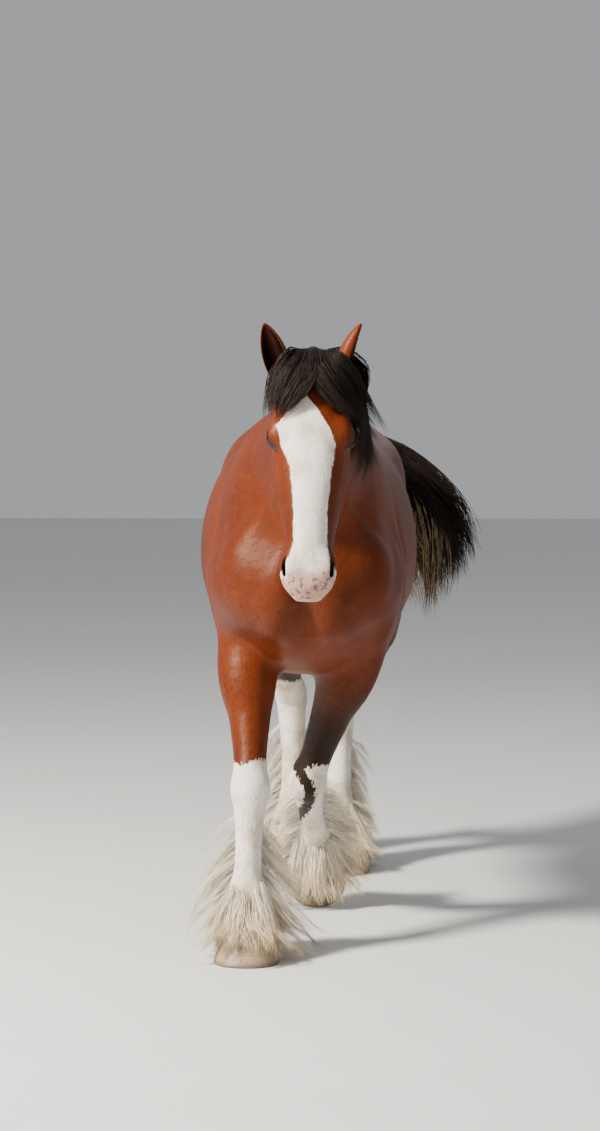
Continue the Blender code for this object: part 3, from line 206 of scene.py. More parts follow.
# The top line of the neck, from between the ears to the withers
CREST = (
    (0.028, -1.155, 1.880),
    (0.020, -1.000, 1.850),
    (0.012, -0.840, 1.812),
    (0.006, -0.680, 1.768),
    (0.002, -0.540, 1.742),
)
# The bony part of the tail: place, half width and half depth
DOCK = (
    (0.000, 0.900, 1.500, 0.060, 0.055),
    (0.020, 0.985, 1.560, 0.050, 0.045),
    (0.090, 1.060, 1.585, 0.040, 0.036),
    (0.190, 1.110, 1.580, 0.032, 0.030),
    (0.300, 1.130, 1.535, 0.022, 0.022),
    (0.370, 1.130, 1.480, 0.012, 0.012),
)
# Where the hair of the tail ends, in a fan
TAIL_TIPS = ((0.61, 1.09, 1.17), (0.56, 1.15, 1.04), (0.43, 1.08, 0.92), (0.30, 1.16, 1.00))
MANE_LENGTH = 0.36
FRINGE_LENGTH = 0.135
BLOWN_FEATHER = 1.35  # how much wider the feather of the leading leg is blown
GOLDEN = 0.618034  # of a turn from one guide to the next spreads them evenly
# How many guides lead the hair, and how many hairs follow each
MANE_GUIDES, MANE_HAIRS = 112, 30
FORELOCK_GUIDES, FORELOCK_HAIRS = 96, 30
TAIL_GUIDES, TAIL_HAIRS = 84, 38
FEATHER_GUIDES, FRINGE_GUIDES, FEATHER_HAIRS = 86, 64, 34
COAT_TUFTS = 19000
HEAD_TUFT = (0.009, 0.0010)  # usual length and width
BODY_TUFT = (0.019, 0.0015)


def smooth_min(a, b, k):
    """The lesser of two values, rounded over the width k where they meet."""
    h = np.maximum(k - np.abs(a - b), 0.0) / k
    return np.minimum(a, b) - h * h * k * 0.25


def smooth_profile(places, values):
    """A smooth curve through the values, as a function of place."""
    places = np.asarray(places, float)
    values = np.asarray(values, float)
    slopes = np.gradient(values, places)
    fine = np.linspace(places[0], places[-1], 240)
    span = np.clip(np.searchsorted(places, fine) - 1, 0, len(places) - 2)
    width = places[span + 1] - places[span]
    t = (fine - places[span]) / width
    curve = (
        (2 * t**3 - 3 * t**2 + 1) * values[span]
        + (t**3 - 2 * t**2 + t) * width * slopes[span]
        + (3 * t**2 - 2 * t**3) * values[span + 1]
        + (t**3 - t**2) * width * slopes[span + 1]
    )
    return lambda x: np.interp(x, fine, curve)


def frame_of(origin, along, side=(1, 0, 0)):
    """Origin and the axes side, along and outward of a local frame, as numpy rows."""
    u = Vector(along).normalized()
    s = Vector(side) - u * Vector(side).dot(u)
    s.normalize()
    return np.array(origin, float), np.array([s, u, s.cross(u)], float)


def into(points, frame):
    """Points of the model in a local frame."""
    return (points - frame[0]) @ frame[1].T


def out_of(point, frame):
    """A point of a local frame in the model."""
    return Vector(frame[0] + np.asarray(point, float) @ frame[1])


def off_round(points, radii):
    """Distance, roughly, from an ellipsoid round the origin."""
    k0 = np.linalg.norm(points / radii, axis=1)
    k1 = np.linalg.norm(points / radii**2, axis=1) + 1e-9
    return k0 * (k0 - 1.0) / k1


def span_of(first, second, side):
    """One straight piece of a tube: its centre, reach and distance."""
    a, b = first[:3], second[:3]
    run = b - a
    _, turn = frame_of(a, run, side)
    longest = float(np.linalg.norm(run))

    def distance(p):
        t = np.clip((p - a) @ run / longest**2, 0, 1)
        q = (p - a - t[:, None] * run) @ turn.T
        wide = first[3] + t * (second[3] - first[3])
        deep = first[4] + t * (second[4] - first[4])
        return off_round(q, np.stack([wide, np.minimum(wide, deep), deep], 1))

    return (a + b) / 2, max(first[3], first[4], second[3], second[4]) + longest / 2, distance


class Field:
    """Signed distance, roughly, to a blend of round forms: negative inside."""

    REACH = 0.12

    def __init__(self):
        self.forms = []

    def add(self, centre, radius, shape, blend, sign=1):
        self.forms.append((np.array(centre, float), radius, shape, blend, sign))

    def ellipsoid(self, centre, radii, blend, frame=None, sign=1):
        radii = np.array(radii, float)
        if frame is None:
            frame = (np.zeros(3), np.eye(3))
        turn = frame[1]
        middle = np.array(out_of(centre, frame))

        def shape(p):
            return off_round((p - middle) @ turn.T, radii)

        self.add(middle, radii.max(), shape, blend, sign)

    def tube(self, stations, blend, side=(1, 0, 0), sign=1, fine=4):
        """A limb through stations of x, y, z, half width and half depth."""
        rows = np.array(stations, float)
        at = np.arange(len(rows), dtype=float)
        steps = np.linspace(0, len(rows) - 1, (len(rows) - 1) * fine + 1)
        smooth = np.stack([smooth_profile(at, c)(steps) for c in rows.T], 1)
        spans = [span_of(a, b, side) for a, b in zip(smooth[:-1], smooth[1:])]
        middle = smooth[:, :3].mean(0)
        radius = max(np.linalg.norm(c - middle) + r for c, r, _ in spans)

        def shape(p):
            d = np.full(len(p), 1.0)
            for centre, reach, distance in spans:
                near = ((p - centre) ** 2).sum(1) < (reach + self.REACH) ** 2
                if near.any():
                    d[near] = np.minimum(d[near], distance(p[near]))
            return d

        self.add(middle, radius, shape, blend, sign)

    def loft(self, rows, frame, blend):
        """A body along a frame's second axis: place, top, floor, level, half width, fullness above
        and below."""
        table = np.array(list(rows), float)
        place = table[:, 0]
        curves = [smooth_profile(place, c) for c in table.T[1:]]
        half = (place[-1] - place[0]) / 2
        middle = out_of(
            (0, (place[0] + place[-1]) / 2, (table[:, 1].max() + table[:, 2].min()) / 2), frame
        )
        reach = math.hypot(half, (table[:, 1].max() - table[:, 2].min()) / 2) + 0.05

        def shape(p):
            q = into(p, frame)
            along = np.clip(q[:, 1], place[0], place[-1])
            top, floor, level, wide, above, below = (c(along) for c in curves)
            rise = q[:, 2] - level
            tall = np.where(rise > 0, top - level, level - floor)
            power = np.where(rise > 0, above, below)
            x = np.abs(q[:, 0]) / wide + 1e-6
            z = np.abs(rise) / tall + 1e-6
            k0 = (x**power + z**power) ** (1 / power)
            steep = np.hypot(
                x ** (power - 1) / wide, z ** (power - 1) / tall
            ) * k0 ** (1 - power)
            flat = (k0 - 1.0) / np.maximum(steep, 1e-3)
            beyond = np.abs(q[:, 1] - (place[0] + place[-1]) / 2) - half
            return np.minimum(np.maximum(flat, beyond), 0) + np.hypot(
                np.maximum(flat, 0), np.maximum(beyond, 0)
            )

        self.add(middle, reach, shape, blend)

    def __call__(self, points):
        points = np.asarray(points, float)
        d = np.full(len(points), 1.0)
        for centre, radius, shape, blend, sign in self.forms:
            near = ((points - centre) ** 2).sum(1) < (radius + self.REACH) ** 2
            if not near.any():
                continue
            value = shape(points[near])
            if sign > 0:
                d[near] = smooth_min(d[near], value, blend)
            else:
                d[near] = -smooth_min(-d[near], value, blend)
        return d


def along_leg(leg, girths):
    """Stations of a limb between its joints."""
    rows = []
    for start, end, share, wide, deep in girths:
        rows.append((*leg[start].lerp(leg[end], share), wide, deep))
    return rows


def hoof_frame(leg):
    """Places the hoof: its toe on the floor, its heels raised by the leg's heel lift."""
    return Matrix.Translation(leg["toe"]) @ Matrix.Rotation(leg["heel_lift"], 4, "X")


def coronet_of(leg):
    """The middle of the top of a hoof."""
    return hoof_frame(leg) @ ((CORONET_FRONT + CORONET_BACK) / 2)


def pastern_rows(leg):
    """The pastern, carried on a little way inside the hoof."""
    end = coronet_of(leg)
    return [
        (*leg["fetlock"].lerp(end, share), wide, deep) for share, wide, deep in PASTERN_GIRTHS
    ]


# The frame of the head: to its right, down the face, and forward out of it
HEAD_AXIS = Vector((-0.012, -math.sin(FACE_TILT), -math.cos(FACE_TILT)))
HEAD_FRAME = frame_of(POLL, HEAD_AXIS, (-1, 0, 0))
EYE = Vector((0.103, 0.270, -0.018))
# Stations in the frame of the head, for the side where its first axis is positive
CHEEKBONE = (
    (0.092, 0.275, -0.055, 0.014, 0.018),
    (0.086, 0.34, -0.072, 0.013, 0.014),
    (0.062, 0.46, -0.075, 0.010, 0.010),
)
NOSTRIL = (
    (0.068, 0.636, -0.012, 0.004, 0.006),
    (0.068, 0.656, -0.022, 0.009, 0.010),
    (0.059, 0.684, -0.032, 0.014, 0.014),
    (0.042, 0.702, -0.034, 0.009, 0.010),
)
MOUTH = (
    (0.0, 0.756, -0.103, 0.012, 0.0050),
    (0.034, 0.738, -0.105, 0.012, 0.0050),
    (0.060, 0.690, -0.104, 0.012, 0.0050),
    (0.072, 0.625, -0.098, 0.010, 0.0040),
)


def on_head(side, rows):
    """Stations on one side of the head, moved into the model."""
    return [(*out_of((side * x, y, z), HEAD_FRAME), wide, deep) for x, y, z, wide, deep in rows]


def add_trunk(field):
    """The barrel, and the muscles and bones that shape it."""
    ground = (np.array((-0.012, 0.0, 0.0)), np.eye(3))
    field.loft(TRUNK.values(), ground, 0.05)
    for side in SIDES.values():
        blade = frame_of((side * 0.140, -0.585, 1.36), (0, 0.60, 0.80))
        field.ellipsoid((0, 0, 0), (0.082, 0.29, 0.140), 0.115, blade)
        # Point of the shoulder, breast muscle, upper arm
        field.ellipsoid((side * 0.150, -0.765, 1.175), (0.105, 0.105, 0.130), 0.09)
        field.ellipsoid((side * 0.080, -0.805, 1.12), (0.080, 0.085, 0.140), 0.07)
        field.ellipsoid((side * 0.195, -0.53, 1.14), (0.090, 0.170, 0.150), 0.09)
        # Point of the hip, rump, buttock
        field.ellipsoid((side * 0.222, 0.44, 1.465), (0.060, 0.085, 0.075), 0.11)
        field.ellipsoid((side * 0.110, 0.64, 1.44), (0.145, 0.260, 0.165), 0.09)
        field.ellipsoid((side * 0.105, 0.905, 1.355), (0.105, 0.110, 0.160), 0.08)


def add_neck(field):
    """The neck, from inside the shoulders to behind the ears."""
    axis = frame_of(NECK_ROOT, POLL - Vector((0, -0.05, 0.11)) - NECK_ROOT, (-1, 0, 0))
    field.loft(NECK.values(), axis, 0.10)


def add_limbs(field):
    """Legs from shoulder and hip to the coronet, with joints and tendons."""
    for name, leg in FORE.items():
        field.tube(along_leg(leg, FORE_GIRTHS) + pastern_rows(leg), 0.05)
        side = SIDES[name]
        shin = (leg["knee"] - leg["elbow"]).normalized()
        cannon = (leg["fetlock"] - leg["knee"]).normalized()
        back = (Vector((0, 1, 0)) - cannon * cannon.y).normalized()
        # Bone behind the knee, point of the elbow, forearm muscles, ergot
        field.ellipsoid(leg["knee"] + back * 0.048 - cannon * 0.010, (0.030, 0.028, 0.036), 0.03)
        field.ellipsoid(leg["elbow"] + Vector((0, 0.085, 0.045)), (0.050, 0.055, 0.060), 0.06)
        swell = frame_of(leg["elbow"] + shin * 0.13 + Vector((side * 0.012, -0.02, 0)), shin)
        field.ellipsoid((0, 0, 0), (0.078, 0.150, 0.088), 0.05, swell)
        field.ellipsoid(leg["fetlock"] + back * 0.040, (0.036, 0.036, 0.040), 0.03)
    for name, leg in HIND.items():
        side = SIDES[name]
        field.tube(along_leg(leg, HIND_GIRTHS) + pastern_rows(leg), 0.05)
        shin = (leg["hock"] - leg["stifle"]).normalized()
        cannon = (leg["fetlock"] - leg["hock"]).normalized()
        back = (shin - cannon).normalized()
        # Hamstrings down to the gaskin, then the tendon to the point of the hock
        buttock = Vector((side * 0.15, 0.95, 1.15))
        ham = leg["stifle"].lerp(leg["hip"], 0.30).lerp(buttock, 0.50)
        field.tube(
            [
                (side * 0.120, 0.900, 1.34, 0.110, 0.125),
                (*ham, 0.115, 0.130),
                (*(leg["stifle"].lerp(leg["hock"], 0.22) + back * 0.065), 0.078, 0.085),
            ],
            0.08,
        )
        point = leg["hock"] + back * 0.066 - cannon * 0.050
        field.tube(
            [
                (*(leg["stifle"].lerp(leg["hock"], 0.40) + back * 0.060), 0.036, 0.040),
                (*(leg["stifle"].lerp(leg["hock"], 0.70) + back * 0.058), 0.020, 0.024),
                (*point, 0.027, 0.027),
                (*(leg["hock"] + back * 0.040 + cannon * 0.030), 0.030, 0.030),
                (*(leg["hock"] + back * 0.022 + cannon * 0.120), 0.030, 0.030),
            ],
            0.03,
        )
        field.ellipsoid(leg["stifle"] + Vector((0, -0.030, 0.01)), (0.085, 0.085, 0.11), 0.07)
        field.ellipsoid(leg["fetlock"] + back * 0.030, (0.036, 0.036, 0.040), 0.03)


def add_head(field):
    """The closed form of the head, with cheeks, brows, muzzle and jaw."""
    field.loft(HEAD.values(), HEAD_FRAME, 0.035)
    for side in SIDES.values():
        eye = Vector((side * EYE.x, EYE.y, EYE.z))
        # Cheek, brow, cheekbone, muzzle and their hollows
        field.ellipsoid((side * 0.068, 0.225, -0.165), (0.034, 0.125, 0.120), 0.03, HEAD_FRAME)
        brow = eye + Vector((-side * 0.012, -0.012, 0.016))
        field.ellipsoid(brow, (0.030, 0.045, 0.026), 0.03, HEAD_FRAME)
        field.tube(on_head(side, CHEEKBONE), 0.025)
        field.ellipsoid((side * 0.048, 0.665, -0.050), (0.030, 0.055, 0.042), 0.03, HEAD_FRAME)
        field.ellipsoid((side * 0.087, 0.155, 0.000), (0.020, 0.040, 0.022), 0.03, HEAD_FRAME, -1)
    field.ellipsoid((0, 0.712, -0.062), (0.048, 0.036, 0.040), 0.03, HEAD_FRAME)
    field.ellipsoid((0, 0.690, -0.128), (0.038, 0.042, 0.030), 0.02, HEAD_FRAME)
    # Bars of the jaw, with the hollow between them
    field.ellipsoid((0, 0.42, -0.240), (0.022, 0.13, 0.050), 0.03, HEAD_FRAME, -1)


def carve_head(field):
    """Cuts the eye sockets between the lids, the nostrils and the line of the mouth."""
    for side in SIDES.values():
        eye = Vector((side * EYE.x, EYE.y, EYE.z))
        field.ellipsoid(eye, (EYE_RADIUS + 0.0055,) * 3, 0.012, HEAD_FRAME)
        lids = frame_of(out_of(eye, HEAD_FRAME), Vector((-side * 0.10, -0.50, -0.86)))
        field.ellipsoid((-side * 0.0225, 0.002, -0.005), (0.022, 0.0215, 0.0145), 0.003, lids, -1)
        field.tube(on_head(side, NOSTRIL), 0.006, sign=-1)
        field.tube(on_head(side, MOUTH), 0.004, sign=-1)


def add_hooves(field):
    """The hooves as plain forms, for the hair that lies over them."""
    for kind, side in LEGS:
        leg = LIMBS[kind][side]
        ground = hoof_frame(leg) @ Vector((0, HOOF_LENGTH / 2, 0.012))
        field.tube([(*coronet_of(leg), 0.080, 0.076), (*ground, 0.100, 0.098)], 0.02)


def grid_of(field, low, high, step):
    """Values of the field on a grid, worked out in full only near the surface."""
    low = np.asarray(low, float)
    cells = np.ceil((np.asarray(high, float) - low) / (step * BAND)).astype(int) * BAND
    coarse = np.stack(
        np.meshgrid(*[np.arange(n // BAND) for n in cells], indexing="ij"), -1
    ).reshape(-1, 3)
    value = field(low + (coarse + 0.5) * step * BAND)
    size = cells + 1
    grid = np.full(size, 1.0)
    near = np.abs(value) < step * BAND * 0.95 + 0.01
    inner = np.arange(BAND)
    blocks = (coarse * BAND)[~near]
    signs = value[~near]
    for i in inner:
        for j in inner:
            for k in inner:
                grid[blocks[:, 0] + i, blocks[:, 1] + j, blocks[:, 2] + k] = signs
    wanted = np.zeros(size, bool)
    blocks = (coarse * BAND)[near]
    for i in range(BAND + 1):
        for j in range(BAND + 1):
            for k in range(BAND + 1):
                wanted[blocks[:, 0] + i, blocks[:, 1] + j, blocks[:, 2] + k] = True
    index = np.argwhere(wanted)
    grid[wanted] = field(low + index * step)
    for axis in range(3):
        face = [slice(None)] * 3
        for end in (0, -1):
            face[axis] = end
            grid[tuple(face)] = np.maximum(grid[tuple(face)], step)
    return grid, low


CORNERS = np.array(
    [(0, 0, 0), (1, 0, 0), (0, 1, 0), (1, 1, 0), (0, 0, 1), (1, 0, 1), (0, 1, 1), (1, 1, 1)]
)


def surface(field, low, high, step):
    """Points and quads of the field's surface inside a box, closed where the box cuts it."""
    grid, low = grid_of(field, low, high, step)
    inside = grid < 0
    nx, ny, nz = (n - 1 for n in grid.shape)
    filled = np.zeros((nx, ny, nz), np.int8)
    for a in CORNERS:
        filled += inside[a[0] : a[0] + nx, a[1] : a[1] + ny, a[2] : a[2] + nz]
    cells = np.argwhere((filled > 0) & (filled < 8))
    value = np.stack([grid[tuple((cells + c).T)] for c in CORNERS], 1)
    total = np.zeros((len(cells), 3))
    hits = np.zeros(len(cells))
    for i, a in enumerate(CORNERS):
        for j, b in enumerate(CORNERS):
            if (b - a).sum() == 1 and (b >= a).all():
                crosses = (value[:, i] < 0) != (value[:, j] < 0)
                share = value[crosses, i] / (value[crosses, i] - value[crosses, j])
                total[crosses] += a + share[:, None] * (b - a)
                hits[crosses] += 1
    number = np.full((nx, ny, nz), -1, np.int32)
    number[tuple(cells.T)] = np.arange(len(cells))
    points = low + (cells + total / hits[:, None]) * step
    quads = []
    for axis in range(3):
        others = [d for d in range(3) if d != axis]
        here = [slice(1, -1)] * 3
        there = [slice(1, -1)] * 3
        here[axis], there[axis] = slice(0, -1), slice(1, None)
        first, second = inside[tuple(here)], inside[tuple(there)]
        at = np.argwhere(first != second)
        flip = first[first != second]
        for d in others:
            at[:, d] += 1
        ring = []
        for back in ((0, 0), (1, 0), (1, 1), (0, 1)):
            cell = at.copy()
            cell[:, others[0]] -= back[0]
            cell[:, others[1]] -= back[1]
            ring.append(number[cell[:, 0], cell[:, 1], cell[:, 2]])
        ring = np.stack(ring, 1)
        if axis == 1:
            flip = ~flip
        ring[flip] = ring[flip][:, ::-1]
        quads.append(ring)
    return points, np.concatenate(quads)


def gradient(field, points, small):
    """How much the field grows along each axis from just before a point to just past it."""
    steps = np.eye(3) * small
    return np.stack([field(points + step) - field(points - step) for step in steps], 1)


def settle(field, points, rounds=2, small=0.0008):
    """Moves points onto the field's surface."""
    for _ in range(rounds):
        slope = gradient(field, points, small) / (2 * small)
        move = slope * (field(points) / ((slope**2).sum(1) + 1e-6))[:, None]
        far = np.linalg.norm(move, axis=1)
        points = points - move * np.minimum(1, 0.008 / (far + 1e-9))[:, None]
    return points


def drape(field, roots, headings, lengths, lifts, sag, steps, wave=None, floor=0.006, cling=None):
    """Paths that start inside the skin, leave it along their headings, and then fall over it.

    Each path bends down by its sag and keeps at least its lift above the surface. With a cling it
    comes down to that height over the skin. Returned with the way that faces out at each point.
    """
    points = np.array(roots, float)
    ways = np.array(headings, float)
    ways /= np.linalg.norm(ways, axis=1)[:, None]
    step = (np.asarray(lengths, float) / steps)[:, None]
    lifts = np.asarray(lifts, float)
    sag = np.asarray(sag, float)[:, None]
    path, faces = [points.copy()], []
    slope = slopes(field, points)
    faces.append(slope)
    for i in range(steps):
        ways = ways + sag * np.array([0, 0, -1.0])
        if wave is not None:
            ways = ways + wave[i]
        ways /= np.linalg.norm(ways, axis=1)[:, None]
        moved = points + ways * step
        for _ in range(3):
            distance = field(moved)
            slope = slopes(field, moved)
            short = np.maximum(lifts * (i + 1) / steps + 0.002 - distance, 0)
            if i == 0:
                short *= 0.0
            elif cling is not None:
                short -= np.maximum(distance - cling, 0) * 0.45
            moved = moved + slope * np.clip(short, -0.03, 0.03)[:, None]
        moved[:, 2] = np.maximum(moved[:, 2], floor)
        ways = (moved - points) / np.linalg.norm(moved - points, axis=1)[:, None]
        points = moved
        path.append(points.copy())
        faces.append(slope)
    return np.stack(path, 1), np.stack(faces, 1)


def slopes(field, points):
    """Unit directions in which the field grows."""
    found = gradient(field, points, 0.004)
    return found / (np.linalg.norm(found, axis=1)[:, None] + 1e-9)


def hoof_outline(half_width, half_length, centre, count=20):
    """A round toe and squarer heels, seen from above."""
    ring = []
    for i in range(count):
        turn = 2 * math.pi * i / count
        x, y = math.sin(turn), -math.cos(turn)
        power = 0.86 if y > 0 else 1.0
        ring.append(
            Vector(
                (
                    half_width * math.copysign(abs(x) ** 0.92, x),
                    centre + half_length * math.copysign(abs(y) ** power, y),
                    0.0,
                )
            )
        )
    return ring


def leg_axis(leg, upper):
    """A path down a lower leg from knee or hock to the coronet, for the roots of the feather."""
    return [leg[upper], leg[upper].lerp(leg["fetlock"], 0.5), leg["fetlock"], coronet_of(leg)]


def feather_paths(leg, upper, count, rng, reach):
    """Roots round the back and sides of the lower leg, with their ways and lengths."""
    axis = leg_axis(leg, upper)
    cannon = (leg["fetlock"] - leg[upper]).normalized()
    back = (Vector((0, 1, 0)) - cannon * cannon.y).normalized()
    across = cannon.cross(back)
    roots, ways, lengths = [], [], []
    for i in range(count):
        share = (i + 0.5) / count
        centre = point_on(axis, 0.14 + 0.62 * share**0.8)
        turn = math.radians((i * GOLDEN % 1.0 * 2 - 1) * (72 + 40 * share))
        out = back * math.cos(turn) + across * math.sin(turn)
        roots.append(centre + out * 0.020)
        side = abs(math.sin(turn))
        blown = (reach - 1.0) / (BLOWN_FEATHER - 1.0) * side
        ways.append(out * (0.62 + 0.25 * blown) + cannon * (1.0 - 0.35 * blown))
        length = 0.135 + 0.085 * math.sin(math.pi * min(1.0, 0.2 + 0.7 * share))
        length *= 1.0 + (reach - 1.0) * side
        lengths.append(length * rng.uniform(0.90, 1.10))
    return roots, ways, lengths


def fringe_paths(leg, count, rng):
    """Roots all round the pastern, for the hair that falls over the wall of the hoof."""
    down = (coronet_of(leg) - leg["fetlock"]).normalized()
    forward = (Vector((0, -1, 0)) + down * down.y).normalized()
    across = down.cross(forward)
    roots, ways, lengths = [], [], []
    for i in range(count):
        turn = 2 * math.pi * (i + 0.5) / count
        out = forward * math.cos(turn) + across * math.sin(turn)
        roots.append(leg["fetlock"].lerp(coronet_of(leg), 0.60) + out * 0.055)
        ways.append(out * 0.50 + down * 0.9 + Vector((0, 0, -0.2)))
        lengths.append(FRINGE_LENGTH * rng.uniform(0.90, 1.10))
    return roots, ways, lengths


def span_at(line, share):
    """The ends of the span that holds a share of a line, and the share of that span."""
    at = share * (len(line) - 1)
    k = min(int(at), len(line) - 2)
    return line[k], line[k + 1], at - k


def point_on(line, share):
    """A point a share of the way along a line, with each span counted as equally long."""
    start, end, rest = span_at(line, share)
    return start.lerp(end, rest)


# The skin

THROAT_FLOOR = 1.36  # the plane where the fine mesh of the head starts is used above this only


def ear_rows(row):
    """Stations of the outside of an ear and of the hollow in it."""
    base, tip, way = out_of(row[0], HEAD_FRAME), Vector(row[1]), Vector(row[2])
    if way.x > 0:
        # The left ear is turned out a little further than its solid
        way += Vector((0.35, 0.55, 0))
    axis = (tip - base).normalized()
    front = (way - axis * way.dot(axis)).normalized()
    across = axis.cross(front)
    outer, inner = [], []
    for share, wide, deep, shift in EAR_FORM:
        middle = base.lerp(tip, share) - front * 0.008 * math.sin(math.pi * max(share, 0.0))
        outer.append((*middle, wide, deep))
        if shift:
            inner.append((*(middle + front * shift), wide - 0.0045, deep + shift - 0.0050))
    return outer, inner, across


# An ear from its root: share of the length, half width, half depth, and how far forward the cup
# in it lies, with 0 where the ear is closed
EAR_FORM = (
    (-0.12, 0.026, 0.026, 0.0),
    (0.08, 0.031, 0.029, 0.003),
    (0.28, 0.038, 0.032, 0.013),
    (0.48, 0.038, 0.030, 0.016),
    (0.68, 0.031, 0.024, 0.014),
    (0.86, 0.019, 0.015, 0.010),
    (0.97, 0.008, 0.007, 0.006),
    (1.00, 0.004, 0.004, 0.0),
)


LIMBS = {"fore": FORE, "hind": HIND}
LEG_JOINTS = {"fore": ("elbow", "knee"), "hind": ("stifle", "hock")}
LEGS = [(kind, side) for kind in LIMBS for side in SIDES]

# Muscles that show under the coat: where, which way they run, half length, half width, height
MUSCLES = (
    ((0.24, -0.52, 1.38), (0, -0.42, -0.90), 0.22, 0.060, 0.012),
    ((0.29, -0.42, 1.12), (0, 0.45, -0.90), 0.15, 0.090, 0.014),
    ((0.20, -0.72, 1.12), (0, -0.50, -0.85), 0.10, 0.070, 0.014),
    ((0.085, -0.88, 1.09), (0.1, 0.1, -1.0), 0.13, 0.060, 0.012),
    ((0.14, -0.88, 1.42), (0.12, 0.36, -0.60), 0.24, 0.048, 0.010),
    ((0.13, -0.76, 1.60), (0, 0.75, -0.35), 0.22, 0.060, 0.006),
    ((0.24, 0.50, 1.52), (0, 0.40, -0.90), 0.09, 0.060, 0.010),
    ((0.26, 0.72, 1.46), (0, 0.75, -0.65), 0.18, 0.090, 0.010),
    ((0.20, 0.92, 1.22), (0, -0.15, -1.0), 0.18, 0.060, 0.008),
    ((0.25, 0.44, 1.02), (0, -0.30, -1.0), 0.09, 0.060, 0.010),
)
# On the head, down the face: cheek, and the ridge in front of it
FACE_MUSCLES = (
    ((0.10, 0.27, -0.16), 0.085, 0.060, 0.004),
    ((0.095, 0.41, -0.070), 0.10, 0.014, 0.003),
)
# Hollows between them: places along each, half its width, and depth
GROOVES = (
    (((0, -0.90, 1.24), (0, -0.91, 1.08), (0, -0.86, 0.96)), 0.026, 0.008),
    (((0.10, -0.98, 1.54), (0.15, -0.84, 1.40), (0.20, -0.72, 1.26)), 0.030, 0.010),
    (((0.27, -0.27, 1.44), (0.30, -0.29, 1.20), (0.26, -0.32, 0.98)), 0.045, 0.010),
    (((0.23, -0.62, 1.34), (0.25, -0.57, 1.15), (0.24, -0.58, 1.00)), 0.030, 0.008),
    (((0.31, 0.33, 1.44), (0.31, 0.35, 1.22), (0.27, 0.33, 1.04)), 0.055, 0.012),
    (((0.17, 0.86, 1.44), (0.21, 0.84, 1.22), (0.18, 0.80, 1.02)), 0.035, 0.008),
    (((0.0, 0.30, 1.69), (0.0, 0.55, 1.72), (0.0, 0.80, 1.67)), 0.030, 0.006),
)


def on_skin(field, places):
    """The nearest points of the skin to some places."""
    at = np.array(places, float)
    for _ in range(5):
        at -= slopes(field, at) * field(at)[:, None]
    return at


def mound(points, place, way, long, wide, height):
    """A soft rise of the skin round a place, longer along its way."""
    way = np.array(way, float) / np.linalg.norm(way)
    away = points - np.array(place)
    along = away @ way
    beside = ((away - along[:, None] * way) ** 2).sum(1)
    return height * np.exp(-((along / long) ** 2) - beside / wide**2)


def furrow(field, points, places, half, deep):
    """A soft hollow along a line on the skin, shallower towards its ends."""
    line = resample(np.array([places], float), 9)[0]
    line = on_skin(field, line)
    away, run = off_path(points, [Vector(p) for p in line])
    share = run / np.linalg.norm(np.diff(line, axis=0), axis=1).sum()
    return deep * np.exp(-((away / half) ** 2)) * np.sin(math.pi * np.clip(share, 0, 1)) ** 0.7


def relief(field, points):
    """How far the muscles stand out and the hollows go in, over the plain form."""
    rise = np.zeros(len(points))
    for side in SIDES.values():
        mirror = np.array((side, 1, 1))
        for place, way, long, wide, height in MUSCLES:
            rise += mound(points, mirror * place, mirror * way, long, wide, height)
        for places, half, deep in GROOVES:
            rise -= furrow(field, points, np.array(places) * mirror, half, deep)
        for place, long, wide, height in FACE_MUSCLES:
            place = out_of(np.array(place) * mirror, HEAD_FRAME)
            rise += mound(points, place, HEAD_AXIS, long, wide, height)
    for kind, side in LEGS:
        leg = LIMBS[kind][side]
        way = SIDES[side]
        upper, lower = LEG_JOINTS[kind]
        run = leg[lower] - leg[upper]
        # Muscles of the forearm or gaskin: outer front, outer back and inner
        for share, out in ((0.30, (way, -0.9, 0)), (0.32, (way, 1.0, 0)), (0.28, (-way, -0.5, 0))):
            place = leg[upper] + run * share + Vector(out) * 0.06
            rise += mound(points, place, run, 0.13, 0.040, 0.007)
        # Front of the knee or hock, and the groove before each tendon
        cannon = leg["fetlock"] - leg[lower]
        rise += mound(points, leg[lower] + Vector((0, -0.06, 0)), cannon, 0.045, 0.035, 0.004)
        for across in (-1, 1):
            off = Vector((across * 0.05, 0.018, 0))
            line = [leg[lower] + cannon * t + off for t in (0.2, 0.5, 0.8)]
            rise -= furrow(field, points, line, 0.010, 0.0035)
    return rise


SLIT_HALF = 0.0235  # half the length of the opening between the lids
# Upper lid, lower lid and the fold over the eye: how high each arches, its half thickness, and
# how far it lies outside the eyeball
LIDS = ((0.0150, 0.0036, 0.0030), (-0.0125, 0.0026, 0.0022), (0.0235, 0.0045, 0.0035))


def add_lids(field):
    """Rims of the upper and lower eyelid, and the fold over the eye."""
    for side in SIDES.values():
        centre, gaze, slit, tall = eye_axes(side)
        for high, thick, reach in LIDS:
            rows = []
            for step in range(7):
                turn = math.pi * (0.04 + 0.92 * step / 6)
                x, y = SLIT_HALF * math.cos(turn), high * math.sin(turn)
                z = math.sqrt(max((EYE_RADIUS + reach) ** 2 - x * x - y * y, 0.00003))
                rows.append((*(centre + slit * x + tall * y + gaze * z), thick, thick))
            field.tube(rows, 0.004)


def eye_axes(side):
    """Centre of an eye, the way it looks, and the ways along and across its slit."""
    centre = np.array(out_of((-side * EYE.x, EYE.y, EYE.z), HEAD_FRAME))
    gaze = np.array((side * 1.0, -0.62, 0.02))
    gaze /= np.linalg.norm(gaze)
    slit = np.array((-side * 0.20, -0.50, -0.86))
    slit -= gaze * (slit @ gaze)
    slit /= np.linalg.norm(slit)
    tall = np.cross(gaze, slit) * side
    return centre, gaze, slit, tall


